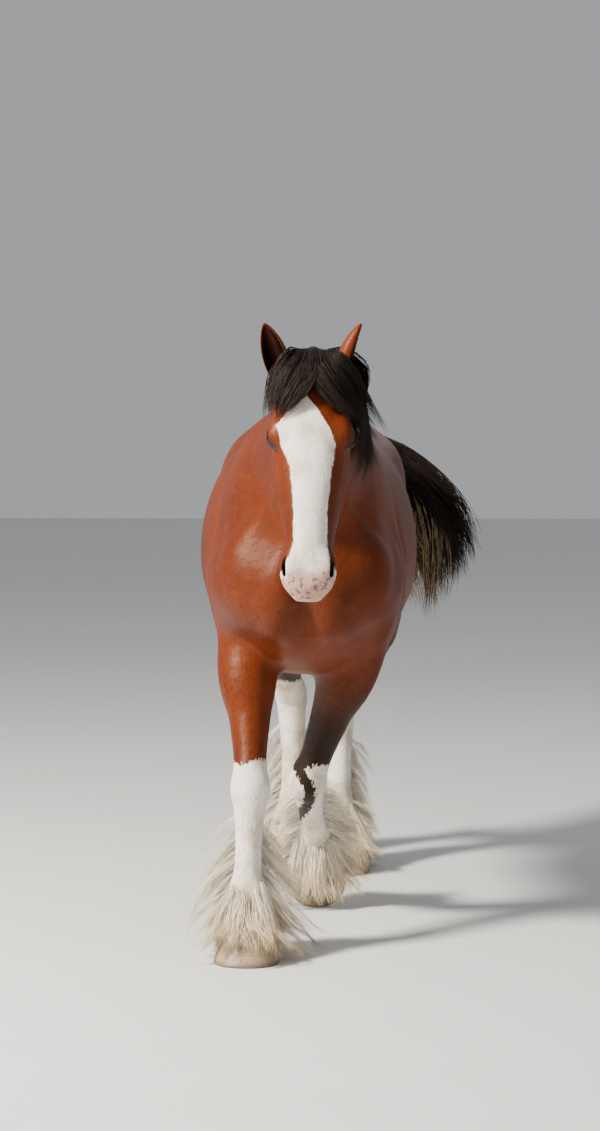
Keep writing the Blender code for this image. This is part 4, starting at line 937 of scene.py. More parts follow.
def skin_field(carved=True):
    """The whole animal under its hair, with or without the openings of the head."""
    field = Field()
    add_trunk(field)
    add_neck(field)
    add_limbs(field)
    add_head(field)
    for row in EARS.values():
        outer, _, across = ear_rows(row)
        field.tube(outer, 0.022, across)
    if not carved:
        return field
    carve_head(field)
    add_lids(field)
    for row in EARS.values():
        _, inner, across = ear_rows(row)
        field.tube(inner, 0.004, across, sign=-1)
    return field


def half_mesh(points, faces, at, way, seed):
    """The seed's part of a mesh, cut by a plane through the throat, with its rim left open."""
    item = mesh_of("half", points, faces)
    work = bmesh.new()
    work.from_mesh(item.data)
    near = [f for f in work.faces if f.calc_center_median().z > THROAT_FLOOR]
    ends = {v for f in near for v in f.verts} | {e for f in near for e in f.edges}
    made = bmesh.ops.bisect_plane(
        work, geom=list(ends) + near, dist=0.0004, plane_co=at, plane_no=way
    )
    line = {e for e in made["geom_cut"] if isinstance(e, bmesh.types.BMEdge)}
    start = min(work.faces, key=lambda f: (f.verts[0].co - seed).length_squared)
    kept, rim = {start}, [start]
    while rim:
        for edge in rim.pop().edges:
            if edge in line:
                continue
            for other in edge.link_faces:
                if other not in kept:
                    kept.add(other)
                    rim.append(other)
    bmesh.ops.delete(work, geom=[f for f in work.faces if f not in kept], context="FACES")
    bmesh.ops.delete(work, geom=[v for v in work.verts if not v.link_faces], context="VERTS")
    work.verts.index_update()
    points = np.array([v.co[:] for v in work.verts])
    faces = [[v.index for v in f.verts] for f in work.faces]
    rim = [v.index for v in work.verts if v.is_boundary and v.co.z > THROAT_FLOOR]
    work.free()
    bpy.data.objects.remove(item)
    return points, faces, rim


def around(points, rim, way):
    """A rim's points in order round the axis through its middle, with their angles."""
    middle = points[rim].mean(0)
    first = np.cross(way, (0, 0, 1.0))
    first /= np.linalg.norm(first)
    second = np.cross(way, first)
    turn = np.arctan2((points[rim] - middle) @ second, (points[rim] - middle) @ first)
    order = np.argsort(turn)
    return [rim[k] for k in order], turn[order]


def skin_mesh(field):
    """One closed surface: fine over the head and ears, coarser from the neck back."""
    points, faces = surface(field, (-0.46, -1.75, -0.04), (0.46, 1.20, 2.02), SKIN_STEP)
    points = settle(field, points)
    low, high = (-0.20, -1.70, 1.06), (0.28, -0.88, 2.00)
    fine, fine_faces = surface(field, low, high, FINE_STEP)
    fine = settle(field, fine)
    # The seam runs from behind the ears to the throat
    top = out_of((0, -0.060, -0.080), HEAD_FRAME)
    bottom = out_of((0, 0.215, -0.300), HEAD_FRAME)
    way = (bottom - top).cross(Vector((1, 0, 0))).normalized()
    way = way if way.y > 0 else -way
    body, body_faces, body_rim = half_mesh(
        points, faces, top + way * 0.006, -way, Vector((0, 0, 1.66))
    )
    brow = out_of((0, 0.3, 0.03), HEAD_FRAME)
    head, head_faces, head_rim = half_mesh(fine, fine_faces, top, way, brow)
    count = len(body)
    join = body_faces + [[k + count for k in face] for face in head_faces]
    first, first_turn = around(body, body_rim, np.array(way))
    second, second_turn = around(head, head_rim, np.array(way))
    # Triangles from rim to rim, always on from the point that lies further back
    i = j = 0
    while i < len(first) or j < len(second):
        here, there = first[i % len(first)], second[j % len(second)] + count
        next_first = first_turn[i] if i < len(first) else 99
        next_second = second_turn[j] if j < len(second) else 99
        if next_first <= next_second:
            join.append([here, first[(i + 1) % len(first)], there])
            i += 1
        else:
            join.append([here, second[(j + 1) % len(second)] + count, there])
            j += 1
    points = np.concatenate([body, head])
    # The toe end inside a hoof stays off the floor
    points[:, 2] = np.maximum(points[:, 2], 0.012)
    return points, join


def item_of(name, points, corners, sizes):
    """A mesh object from its points, the corners of all faces in turn, and each face's size."""
    mesh = bpy.data.meshes.new(name)
    mesh.vertices.add(len(points))
    mesh.vertices.foreach_set("co", np.asarray(points, np.float32).ravel())
    mesh.loops.add(len(corners))
    mesh.loops.foreach_set("vertex_index", corners.astype(np.int32))
    mesh.polygons.add(len(sizes))
    mesh.polygons.foreach_set("loop_start", (np.cumsum(sizes) - sizes).astype(np.int32))
    mesh.update(calc_edges=True)
    item = bpy.data.objects.new(name, mesh)
    bpy.context.scene.collection.objects.link(item)
    return item


def mesh_of(name, points, faces):
    """A mesh object from points and faces of any size."""
    sizes = np.array([len(f) for f in faces])
    item = item_of(name, points, np.concatenate([np.asarray(f) for f in faces]), sizes)
    item.data.validate()
    return item


def turn_out(item, merge=False):
    """Turns all faces outwards, and before it may merge the points that lie in one place."""
    work = bmesh.new()
    work.from_mesh(item.data)
    if merge:
        bmesh.ops.remove_doubles(work, verts=work.verts[:], dist=1e-6)
    bmesh.ops.recalc_face_normals(work, faces=work.faces[:])
    work.to_mesh(item.data)
    work.free()


def set_values(item, name, values):
    """Gives each point of a mesh a number or a vector that its material reads."""
    values = np.asarray(values, np.float32)
    kind = "FLOAT" if values.ndim == 1 else "FLOAT_VECTOR"
    layer = item.data.attributes.new(name, kind, "POINT")
    layer.data.foreach_set("value" if values.ndim == 1 else "vector", values.ravel())


def smooth(item):
    """Shades all faces of a piece smooth."""
    item.data.polygons.foreach_set("use_smooth", [True] * len(item.data.polygons))


def done(item, material, nodes=()):
    """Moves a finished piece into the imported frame, and has it ride and stand for its nodes."""
    item.data.transform(Matrix.Translation(FRAME_SHIFT))
    item.data.materials.append(material)
    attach(item, "root")
    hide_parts(*nodes)
    return item


# Markings

def step_up(value, low, high):
    """A smooth step from 0 at the low value to 1 at the high one."""
    t = np.clip((value - low) / (high - low), 0, 1)
    return t * t * (3 - 2 * t)


# The white of the face from the top: how far down, its middle and its half width
BLAZE = (
    (0.100, 0.010, -0.010),
    (0.162, 0.018, 0.004),
    (0.200, 0.024, 0.040),
    (0.252, 0.026, 0.075),
    (0.285, 0.012, 0.077),
    (0.309, 0.007, 0.079),
    (0.340, 0.001, 0.070),
    (0.376, -0.003, 0.061),
    (0.440, -0.004, 0.0535),
    (0.505, -0.004, 0.048),
    (0.600, -0.005, 0.048),
    (0.640, -0.004, 0.056),
    (0.680, -0.003, 0.080),
    (0.720, 0.000, 0.120),
)


def blaze_edge(local):
    """How far inside the edge of the white on the face, in metres, from points of the head's frame."""
    table = np.array(BLAZE)
    middle = np.interp(local[:, 1], table[:, 0], table[:, 1])
    half = np.interp(local[:, 1], table[:, 0], table[:, 2])
    side = half - np.abs(local[:, 0] - middle)
    face = np.interp(local[:, 1], (0.0, 0.30, 0.55, 0.66, 0.72), (-0.035, -0.040, -0.075, -0.095, -0.150))
    return np.minimum(side, (local[:, 2] - face) * 0.8)


# The height of each leg's white, and how strong and how tall the dark above it is. The dark is the black
# of the points; on the left foreleg it is stronger and taller, partly as painted shade.
STOCKINGS = {
    "foreleg_right": (0.600, 0.40, 0.16),
    "foreleg_left": (0.530, 1.00, 0.46),
    "hindleg_right": (0.690, 0.85, 0.26),
    "hindleg_left": (0.745, 0.85, 0.26),
}


def leg_path(kind, side):
    """A leg as a line from elbow or stifle to the toe."""
    leg = LIMBS[kind][side]
    upper, lower = LEG_JOINTS[kind]
    return [leg[upper], leg[lower], leg["fetlock"], coronet_of(leg), leg["toe"]]


def off_path(points, path):
    """Distance of each point from a path, and how far along the path it is."""
    best = np.full(len(points), 9.0)
    along = np.zeros(len(points))
    run = 0.0
    for a, b in zip(path[:-1], path[1:]):
        a, b = np.array(a), np.array(b)
        length = np.linalg.norm(b - a)
        t = np.clip((points - a) @ (b - a) / length**2, 0, 1)
        away = np.linalg.norm(points - a - t[:, None] * (b - a), axis=1)
        nearer = away < best
        best[nearer] = away[nearer]
        along[nearer] = run + t[nearer] * length
        run += length
    return best, along


def nearest_leg(points):
    """Which leg each point is nearest to, in the order of LEGS, and the distance."""
    away = np.stack([off_path(points, leg_path(kind, side))[0] for kind, side in LEGS], 1)
    return away.argmin(1), away.min(1)


def marking_edges(points):
    """Metres inside each marking's edge, for the white, and shares for the dark and the pink."""
    local = into(points, HEAD_FRAME)
    on_head = (local[:, 1] > -0.02) & (points[:, 1] < -1.10) & (points[:, 2] > 1.0)
    white = np.where(on_head, blaze_edge(local), -0.3)
    which, _ = nearest_leg(points)
    dark = np.zeros(len(points))
    for k, (kind, side) in enumerate(LEGS):
        here = (which == k) & (points[:, 2] < 1.05)
        top, strong, tall = STOCKINGS[f"{kind}leg_{side}"]
        height = points[:, 2] + 0.007 * np.sin(54 * points[:, 0] + 3 * k)
        edge = top - height
        if (kind, side) == ("fore", "left"):
            # The black stripe that winds down the inside of the knee and the cannon
            knee = FORE["left"]["knee"]
            line = knee.x - 0.020 + 0.030 * np.sin((points[:, 2] - 0.36) * 21)
            stripe = np.abs(points[:, 0] - line) - 0.020
            stripe = np.where(points[:, 2] < 0.315, 0.06, stripe)
            edge = np.minimum(edge, stripe)
        white[here] = edge[here]
        # Black points darkening down to the white; on the left foreleg part of this dark is painted shade
        shade = step_up(top + tall - height, 0.0, tall) * strong
        dark[here] = shade[here]
    nose = step_up(local[:, 1] + 0.10 * local[:, 2], 0.672, 0.700)
    pink = np.where(on_head, nose, 0.0)
    return white, dark, pink


# Materials

def node(tree, kind, inputs=None, **settings):
    """A shader node with its settings, and its inputs linked or set."""
    made = tree.nodes.new(kind)
    for key, value in settings.items():
        setattr(made, key, value)
    for key, value in (inputs or {}).items():
        socket = made.inputs[key]
        if isinstance(value, bpy.types.NodeSocket):
            tree.links.new(value, socket)
        else:
            socket.default_value = value
    return made


def new_material(name):
    """A material, its nodes and its shader."""
    material = bpy.data.materials.new(name)
    material.use_nodes = True
    tree = material.node_tree
    return material, tree, tree.nodes["Principled BSDF"]


def on_model(tree):
    """The place on the model that a pattern follows."""
    return node(tree, "ShaderNodeTexCoord").outputs["Object"]


def value_of(tree, name, output="Fac"):
    """A value that the mesh carries at each point."""
    return node(tree, "ShaderNodeAttribute", attribute_name=name).outputs[output]


def noise(tree, where, scale, detail=3.0):
    """A seamless cloudy pattern between 0 and 1."""
    inputs = {"Vector": where, "Scale": scale, "Detail": detail, "Roughness": 0.55}
    return node(tree, "ShaderNodeTexNoise", inputs).outputs["Fac"]


def stretched(tree, where, scale, turn=(0, 0, 0)):
    """Places scaled by axis, so that a pattern on them is drawn out."""
    inputs = {"Vector": where, "Scale": scale, "Rotation": turn}
    return node(tree, "ShaderNodeMapping", inputs).outputs["Vector"]


def ramp(tree, value, low, high, first=0.0, last=1.0):
    """A smooth run from first to last, as a value goes from low to high."""
    inputs = {"Value": value, "From Min": low, "From Max": high, "To Min": first, "To Max": last}
    return node(tree, "ShaderNodeMapRange", inputs, interpolation_type="SMOOTHSTEP").outputs["Result"]


def maths(tree, kind, a, b=0.5):
    """One sum on one or two values."""
    return node(tree, "ShaderNodeMath", {0: a, 1: b}, operation=kind).outputs[0]


def mix(tree, share, a, b):
    """A share of colour b over colour a, each a colour or a socket."""
    a, b = (v if isinstance(v, bpy.types.NodeSocket) else (*v, 1.0) for v in (a, b))
    return node(tree, "ShaderNodeMix", {0: share, 6: a, 7: b}, data_type="RGBA").outputs[2]


def far(tree, x, y):
    """How far a point is from the middle of a pattern."""
    squares = [maths(tree, "POWER", maths(tree, "ABSOLUTE", value), 2.0) for value in (x, y)]
    return maths(tree, "SQRT", maths(tree, "ADD", *squares))


def finish(tree, shader, colour, roughness, normal=None, **values):
    """Gives the shader its colour, roughness and relief, and what is the same all over."""
    tree.links.new(colour, shader.inputs["Base Color"])
    tree.links.new(roughness, shader.inputs["Roughness"])
    if normal is not None:
        tree.links.new(normal, shader.inputs["Normal"])
    for name, value in values.items():
        shader.inputs[name.replace("_", " ")].default_value = value


def shaded(tree, colour, shade):
    """A colour made lighter or darker by a factor."""
    inputs = {0: 1.0, 6: colour, 7: shade}
    return node(tree, "ShaderNodeMix", inputs, data_type="RGBA", blend_type="MULTIPLY").outputs[2]


def bump(tree, height, strength, distance, under=None):
    """Relief from a pattern, over the relief under it."""
    inputs = {"Height": height, "Strength": strength, "Distance": distance}
    if under is not None:
        inputs["Normal"] = under
    return node(tree, "ShaderNodeBump", inputs).outputs["Normal"]


BAY = (0.140, 0.024, 0.005)
BAY_DARK = (0.050, 0.009, 0.004)
BAY_GOLD = (0.22, 0.052, 0.011)
BLACK = (0.012, 0.009, 0.008)
WHITE = (0.86, 0.81, 0.72)
CREAM = (0.56, 0.45, 0.31)
PINK = (0.52, 0.24, 0.20)
PINK_SPOT = (0.055, 0.035, 0.035)
# Painted shade in the openings of the head and round the eyes
HOLLOW_SHADE = (0.010, 0.006, 0.005)
HORN = (0.30, 0.205, 0.115)
HORN_PALE = (0.44, 0.33, 0.205)
HORN_FIBRE = (0.155, 0.095, 0.052)
HORN_STAIN = (0.085, 0.060, 0.042)
HORN_SOILED = (0.12, 0.088, 0.062)
IRIS = (0.085, 0.036, 0.014)
IRIS_DARK = (0.020, 0.008, 0.004)
PUPIL = (0.003, 0.003, 0.005)
IRIS_RIM = (0.030, 0.016, 0.012)
EYE_WHITE = (0.17, 0.11, 0.09)
# Long hair: at the root, at the tip, and the strands of another colour among it
BLACK_HAIR = ((0.008, 0.007, 0.007), (0.020, 0.014, 0.011), (0.055, 0.030, 0.018))
PALE_HAIR = ((0.16, 0.10, 0.055), (0.52, 0.37, 0.20), (0.62, 0.50, 0.34))
WHITE_HAIR = ((0.94, 0.89, 0.78), (0.92, 0.79, 0.56), (0.66, 0.48, 0.26))


def coat_colours(tree, where):
    """Bay, its dark points, on the left foreleg partly painted shade, and the white markings, as skin and
    short tufts share them.
    """
    cloud = noise(tree, where, 2.3, 4.0)
    dapple = noise(tree, where, 26.0, 2.0)
    bay = mix(tree, ramp(tree, cloud, 0.30, 0.70, 0.45, 1.0), BAY_DARK, BAY)
    bay = mix(tree, ramp(tree, dapple, 0.50, 0.85, 0.0, 0.22), bay, BAY_GOLD)
    ragged = noise(tree, stretched(tree, where, (1.0, 1.0, 0.30)), 130.0, 3.0)
    loose = maths(tree, "SUBTRACT", ragged, 0.5)
    points = maths(tree, "ADD", value_of(tree, "dark"), maths(tree, "MULTIPLY", loose, 0.35))
    colour = mix(tree, ramp(tree, points, 0.15, 0.90, 0.0, 0.93), bay, BLACK)
    rag = maths(tree, "MULTIPLY", loose, value_of(tree, "rag"))
    edge = maths(tree, "ADD", value_of(tree, "white"), rag)
    share = ramp(tree, edge, -0.0025, 0.0025)
    pale = mix(tree, ramp(tree, noise(tree, where, 9.0, 4.0), 0.40, 0.75), WHITE, CREAM)
    colour = mix(tree, share, colour, pale)
    spots = ramp(tree, noise(tree, where, 62.0, 3.0), 0.52, 0.58)
    rose = mix(tree, spots, PINK, PINK_SPOT)
    colour = mix(tree, maths(tree, "MULTIPLY", value_of(tree, "pink"), 0.78), colour, rose)
    return colour, share


def skin_material():
    """The coat as seen on the skin: its colours, painted shade in the openings of the head, its fine hair
    as relief, and its gloss.
    """
    material, tree, shader = new_material("bay_coat_skin")
    where = on_model(tree)
    colour, white = coat_colours(tree, where)
    # Painted shade: darker inside the ears, the nostrils and the mouth, and round the eyes
    colour = mix(tree, value_of(tree, "hollow"), colour, HOLLOW_SHADE)
    # Fine hair down the legs, back along the trunk and aslant on the neck
    hair_z = noise(tree, stretched(tree, where, (1.0, 1.0, 0.10)), 520.0)
    hair_y = noise(tree, stretched(tree, where, (1.0, 0.10, 1.0)), 520.0)
    aslant = (math.radians(52), 0, 0)
    hair_n = noise(tree, stretched(tree, where, (1.0, 0.10, 1.0), aslant), 520.0)
    shares = {0: value_of(tree, "lie_trunk"), 2: hair_z, 3: hair_y}
    hair = node(tree, "ShaderNodeMix", shares).outputs[0]
    shares = {0: value_of(tree, "lie_neck"), 2: hair, 3: hair_n}
    hair = node(tree, "ShaderNodeMix", shares).outputs[0]
    tuft = noise(tree, stretched(tree, where, (1.0, 0.6, 0.5)), 75.0, 2.0)
    form = bump(tree, noise(tree, where, 9.0), 0.30, 0.012)
    form = bump(tree, tuft, 0.30, 0.004, form)
    normal = bump(tree, hair, 0.30, 0.0016, form)
    lit = shaded(tree, colour, ramp(tree, hair, 0.30, 0.70, 0.72, 1.12))
    finish(
        tree,
        shader,
        lit,
        ramp(tree, white, 0.0, 1.0, 0.44, 0.66),
        normal,
        Specular_IOR_Level=0.18,
        Specular_Tint=(1.0, 0.80, 0.62, 1.0),
    )
    return material


def tuft_material():
    """Short hair: the skin's own colours, each tuft a little lighter or darker."""
    material, tree, shader = new_material("bay_coat_tufts")
    where = on_model(tree)
    colour, white = coat_colours(tree, where)
    lit = shaded(tree, colour, ramp(tree, value_of(tree, "tone"), 0.0, 1.0, 0.82, 1.12))
    finish(tree, shader, lit, ramp(tree, white, 0.0, 1.0, 0.46, 0.66), Specular_IOR_Level=0.20)
    return material


def hair_material(name, colours, shine=0.50):
    """Long hair: from a root colour to a tip colour, with strands of another colour among it."""
    material, tree, shader = new_material(name)
    where = on_model(tree)
    root, tip, other = colours
    mottle = noise(tree, where, 60.0)
    along = maths(tree, "ADD", value_of(tree, "along"), maths(tree, "MULTIPLY", mottle, 0.5))
    colour = mix(tree, ramp(tree, along, 0.45, 1.25), root, tip)
    colour = mix(tree, value_of(tree, "tint"), colour, other)
    tone = maths(tree, "ADD", value_of(tree, "tone"), maths(tree, "MULTIPLY", mottle, 0.4))
    lit = shaded(tree, colour, ramp(tree, tone, 0.1, 1.2, 0.55, 1.30))
    roughness = ramp(tree, mottle, 0.2, 0.8, shine - 0.06, shine + 0.10)
    finish(tree, shader, lit, roughness, Specular_IOR_Level=0.11)
    return material


def horn_material():
    """Pale horn with rings of growth, upright fibres, stains and soil near the ground."""
    material, tree, shader = new_material("hoof_horn_grown")
    where = on_model(tree)
    height = value_of(tree, "height")
    rings = noise(tree, node(tree, "ShaderNodeCombineXYZ", {2: height}).outputs[0], 34.0, 4.0)
    fibre = noise(tree, stretched(tree, where, (1.0, 1.0, 0.06)), 210.0, 4.0)
    stain = noise(tree, where, 24.0, 5.0)
    colour = mix(tree, ramp(tree, rings, 0.35, 0.70), HORN, HORN_PALE)
    colour = mix(tree, ramp(tree, fibre, 0.48, 0.72, 0.0, 0.7), colour, HORN_FIBRE)
    colour = mix(tree, ramp(tree, stain, 0.52, 0.75, 0.0, 0.7), colour, HORN_STAIN)
    colour = mix(tree, ramp(tree, height, 0.0, 0.18, 0.75, 0.0), colour, HORN_SOILED)
    normal = bump(tree, rings, 0.55, 0.0035)
    normal = bump(tree, fibre, 0.40, 0.0015, normal)
    finish(tree, shader, colour, ramp(tree, fibre, 0.3, 0.7, 0.38, 0.60), normal)
    return material


def eye_material():
    """A dark brown iris round a long pupil, under a wet surface."""
    material, tree, shader = new_material("horse_eye_wet")
    gaze = value_of(tree, "gaze", "Vector")
    along, across, _ = node(tree, "ShaderNodeSeparateXYZ", {0: gaze}).outputs
    pupil = far(tree, maths(tree, "DIVIDE", along, 0.52), maths(tree, "DIVIDE", across, 0.30))
    ring = far(tree, along, across)
    streak = noise(tree, stretched(tree, gaze, (6.0, 6.0, 1.0)), 3.0, 4.0)
    iris = mix(tree, ramp(tree, streak, 0.35, 0.70), IRIS_DARK, IRIS)
    colour = mix(tree, ramp(tree, pupil, 0.92, 1.10), PUPIL, iris)
    colour = mix(tree, ramp(tree, ring, 0.72, 0.86), colour, IRIS_RIM)
    colour = mix(tree, ramp(tree, ring, 0.90, 0.98, 0.0, 0.8), colour, EYE_WHITE)
    finish(
        tree,
        shader,
        colour,
        ramp(tree, streak, 0.0, 1.0, 0.04, 0.09),
        Coat_Weight=0.10,
        Coat_Roughness=0.02,
        Specular_IOR_Level=0.22,
    )
    return material


# Hair

def resample(paths, count):
    """Smooth curves through each path's points, at evenly spaced places."""
    last = paths.shape[1] - 1
    t = np.linspace(0, last, count)
    i = np.clip(t.astype(int), 0, last - 1)
    f = (t - i)[None, :, None]
    p0, p1 = paths[:, np.maximum(i - 1, 0)], paths[:, i]
    p2, p3 = paths[:, i + 1], paths[:, np.minimum(i + 2, last)]
    curve = 2 * p1 + (p2 - p0) * f + (2 * p0 - 5 * p1 + 4 * p2 - p3) * f**2
    return 0.5 * (curve + (3 * p1 - p0 - 3 * p2 + p3) * f**3)


def unit(rows):
    return rows / (np.linalg.norm(rows, axis=-1, keepdims=True) + 1e-9)


def strands(guides, faces, rng, each, spread, depth, rings, curl=0.006, shorter=0.35, tip=0.25):
    """Hairs round each guide: their roots apart, drawn together towards the tip."""
    fine = resample(guides, 33)
    along = unit(np.gradient(fine, axis=1))
    out = resample(faces, 33)
    out = unit(out - along * (out * along).sum(-1, keepdims=True))
    across = np.cross(along, out)
    count = len(guides) * each
    which = np.repeat(np.arange(len(guides)), each)[:, None]
    a, b = rng.uniform(-1, 1, (2, count, 1, 1))
    b = np.abs(b) * 0.9 - 0.1
    long = 1 - shorter * rng.random((count, 1)) ** 1.5
    share = np.linspace(0, 1, rings + 1)[None, :]
    at = share * long * 32
    i = np.clip(at.astype(int), 0, 31)
    f = (at - i)[..., None]
    centre = fine[which, i] * (1 - f) + fine[which, i + 1] * f
    side = across[which, i] * (1 - f) + across[which, i + 1] * f
    rise = out[which, i] * (1 - f) + out[which, i + 1] * f
    shape = ((0.62 + 1.3 * share * (1 - share)) * (1 - (1 - tip) * share**1.6))[..., None]
    phase = rng.uniform(0, 6.28, (2, count, 1))
    bend = rng.uniform(3.0, 7.5, (2, count, 1))
    sway = (np.sin(bend[0] * share + phase[0]) - np.sin(phase[0]))[..., None] * curl * share[..., None]
    lift = (np.sin(bend[1] * share + phase[1]) - np.sin(phase[1]))[..., None] * curl * share[..., None]
    path = centre + side * (a * spread * shape + sway) + rise * (b * depth * shape + lift * 0.7)
    return path, rise


def keep_out(field, path, clear=0.003):
    """Lifts whatever has gone under the skin beyond the roots, and keeps all of it off the floor."""
    free = path[:, 2:]
    for _ in range(2):
        flat = free.reshape(-1, 3)
        distance = field(flat)
        low = distance < clear
        if low.any():
            flat[low] += slopes(field, flat[low]) * (clear - distance[low])[:, None]
        free[:] = flat.reshape(free.shape)
    path[..., 2] = np.maximum(path[..., 2], 0.003)
    return path


def hair_mesh(name, path, rise, width, thick, places, rng, tint=None):
    """One mesh of tapered three-sided hairs, each a small patch of the map at its root's place."""
    count, rings, _ = path.shape
    along = unit(np.gradient(path, axis=1))
    across = unit(np.cross(along, rise))
    up = np.cross(across, along)
    share = np.linspace(0, 1, rings)
    taper = (0.55 + 1.5 * share * (1 - share)) * (1 - 0.55 * share**2)
    half = (np.asarray(width).reshape(-1, 1) / 2 * taper)[..., None]
    tall = half * thick * 2
    ring = np.stack([path - across * half, path + across * half, path + up * tall], 2)[:, :-1]
    points = np.concatenate([ring.reshape(count, -1, 3), path[:, -1:]], 1)
    size = points.shape[1]
    quads, tris = [], [(0, 1, 2)]
    for i in range(rings - 2):
        for j in range(3):
            a, b = 3 * i + j, 3 * i + (j + 1) % 3
            quads.append((a + 3, b + 3, b, a))
    last = 3 * (rings - 2)
    for j in range(3):
        tris.append((size - 1, last + (j + 1) % 3, last + j))
    start = (np.arange(count) * size)[:, None]
    corner = np.concatenate([np.array(quads).ravel(), np.array(tris).ravel()])
    sizes = np.array([4] * len(quads) + [3] * len(tris))
    loops = (corner[None, :] + start).ravel()
    totals = np.tile(sizes, count)
    item = item_of(name, points.reshape(-1, 3), loops, totals)
    along_at = np.concatenate([np.repeat(share[:-1], 3), [1.0]])
    side_at = np.concatenate([np.tile((0.0, 1.0, 0.5), rings - 1), [0.5]])
    patch = np.stack([side_at, along_at], 1)[None] * 0.003 - 0.0015
    spots = (np.clip(places, 0.004, 0.996)[:, None, :] + patch).reshape(-1, 2)
    layer = item.data.uv_layers.new(name="OFBake")
    layer.data.foreach_set("uv", spots[loops].astype(np.float32).ravel())
    set_values(item, "along", np.tile(along_at, count))
    set_values(item, "tone", np.repeat(rng.random(count), size))
    if tint is not None:
        set_values(item, "tint", np.repeat(np.asarray(tint, float), size))
    smooth(item)
    return item


def unwrap(points, start, end, box, side=(1, 0, 0)):
    """Places on a sleeve round the line from start to end, laid into a box of the map."""
    origin, turn = frame_of(start, Vector(end) - Vector(start), side)
    local = (points - origin) @ turn.T
    length = (Vector(end) - Vector(start)).length
    u = np.arctan2(local[:, 0], local[:, 2]) / (2 * math.pi) + 0.5
    v = np.clip(local[:, 1] / length, -0.1, 1.1) / 1.2 + 0.1 / 1.2
    low, high = np.array(box[:2]), np.array(box[2:])
    return low + np.stack([u, v], 1) * (high - low)


def long_hair(name, path, rise, rng, line, tint, widths, thick=0.30, more=0.0):
    """A piece of long hair, its map laid out on a sleeve round the line that its roots follow."""
    count = len(path)
    places = unwrap(path[:, 0], *line, (0.02, 0.02, 0.98, 0.98))
    usual, spread, most = tint
    tints = np.clip(rng.normal(usual, spread, count) + more, 0, most)
    return hair_mesh(name, path, rise, rng.uniform(*widths, count), thick, places, rng, tints)


def mane(field, material):
    """Hair from all along the crest, thrown over to the left side of the neck."""
    rng = np.random.default_rng(71)
    count, steps = MANE_GUIDES, 9
    crest = [Vector(place) for place in CREST]
    roots, ways, lengths = [], [], []
    for i in range(count):
        share = (i + 0.5) / count
        over = 1.0 if i % 7 else -0.7
        roots.append(point_on(crest, share) + Vector((0.010 * over * rng.random(), 0, -0.032)))
        ways.append(Vector((0.60 * over, rng.uniform(-0.45, 0.05), 0.75)))
        long = 0.70 + 0.55 * math.sin(math.pi * min(1.0, share + 0.12))
        lengths.append(MANE_LENGTH * rng.uniform(0.80, 1.15) * long * (1.0 if over > 0 else 0.5))
    wave = []
    for k in range(steps):
        aside = np.full(count, 0.10 if k < 4 else 0.0)
        wave.append(np.stack([aside, rng.uniform(-0.22, 0.22, count), np.zeros(count)], 1))
    lifts = rng.uniform(0.006, 0.030, count)
    guides, faces = drape(field, roots, ways, lengths, lifts, [0.50] * count, steps, wave, cling=0.036)
    path, rise = strands(guides, faces, rng, MANE_HAIRS, 0.030, 0.012, 9)
    path = keep_out(field, path)
    line = (NECK_ROOT, POLL)
    item = long_hair("mane", path, rise, rng, line, (0.10, 0.16, 0.8), (0.0020, 0.0038))
    done(item, material)


def forelock(field, material):
    """Hair from the poll that covers the forehead, parts over the blaze and sweeps to both sides."""
    rng = np.random.default_rng(55)
    count, steps = FORELOCK_GUIDES, 12
    side = np.where(np.arange(count) % 2, 1.0, -1.0)
    rank = ((np.arange(count) // 2 + 0.5) / (count / 2)) ** 1.25
    left = side > 0
    stray = rng.uniform(-0.012, 0.012, (3, count))
    # Out from the middle of the face and down from the poll, where a guide starts, bends and ends
    start = np.stack([0.036 * rank, rng.uniform(-0.035, 0.030, count)], 1)
    start[:, 1] += np.where(left, 0.020 * rank, 0)
    out = np.where(left, 0.165, 0.19) * rank - 0.035
    bend = np.stack([out, np.where(left, 0.140 - 0.080 * rank, 0.145 - 0.085 * rank)], 1)
    out = np.where(left, 0.13 + 0.09 * rank, 0.098 + 0.022 * rank)
    end = np.stack([out, 0.232 - np.where(left, 0.035, 0.01) * rank], 1)
    bend += stray[:2].T
    end += (end - bend) * rng.uniform(-0.35, 0.12, (count, 1)) + stray[1:].T
    t = np.linspace(0, 1, steps)[None, :, None]
    flat = start[:, None] * (1 - t) ** 2 + bend[:, None] * 2 * t * (1 - t) + end[:, None] * t**2
    origin, turn = HEAD_FRAME
    lift = rng.uniform(0.006, 0.020, (count, 1)) + 0.012 * np.sin(np.linspace(0, math.pi, steps))[None]
    lift += 0.022 * (1 - rank[:, None]) * (1 - t[..., 0]) ** 3
    height = np.full((count, steps), 0.20)

    def placed():
        local = np.stack([-side[:, None] * flat[..., 0], flat[..., 1], height], 2)
        return origin + local @ turn

    # Each guide comes down from in front of the face until it lies at its height over the skin
    for _ in range(26):
        height -= 0.75 * (field(placed().reshape(-1, 3)).reshape(count, steps) - lift)
        height = np.clip(height, -0.20, 0.25)
    for k in range(1, steps):
        # Beyond the side of the face it falls away slowly
        height[:, k] = np.maximum(height[:, k], height[:, k - 1] - 0.022)
    height[:, 0] -= 0.030
    guides = placed()
    faces = slopes(field, guides.reshape(-1, 3)).reshape(guides.shape)
    path, rise = strands(guides, faces, rng, FORELOCK_HAIRS, 0.014, 0.008, 9, 0.005)
    path = keep_out(field, path)
    line = (POLL, out_of((0, 0.5, 0), HEAD_FRAME))
    item = long_hair("forelock", path, rise, rng, line, (0.10, 0.18, 0.8), (0.0015, 0.0030))
    done(item, material)


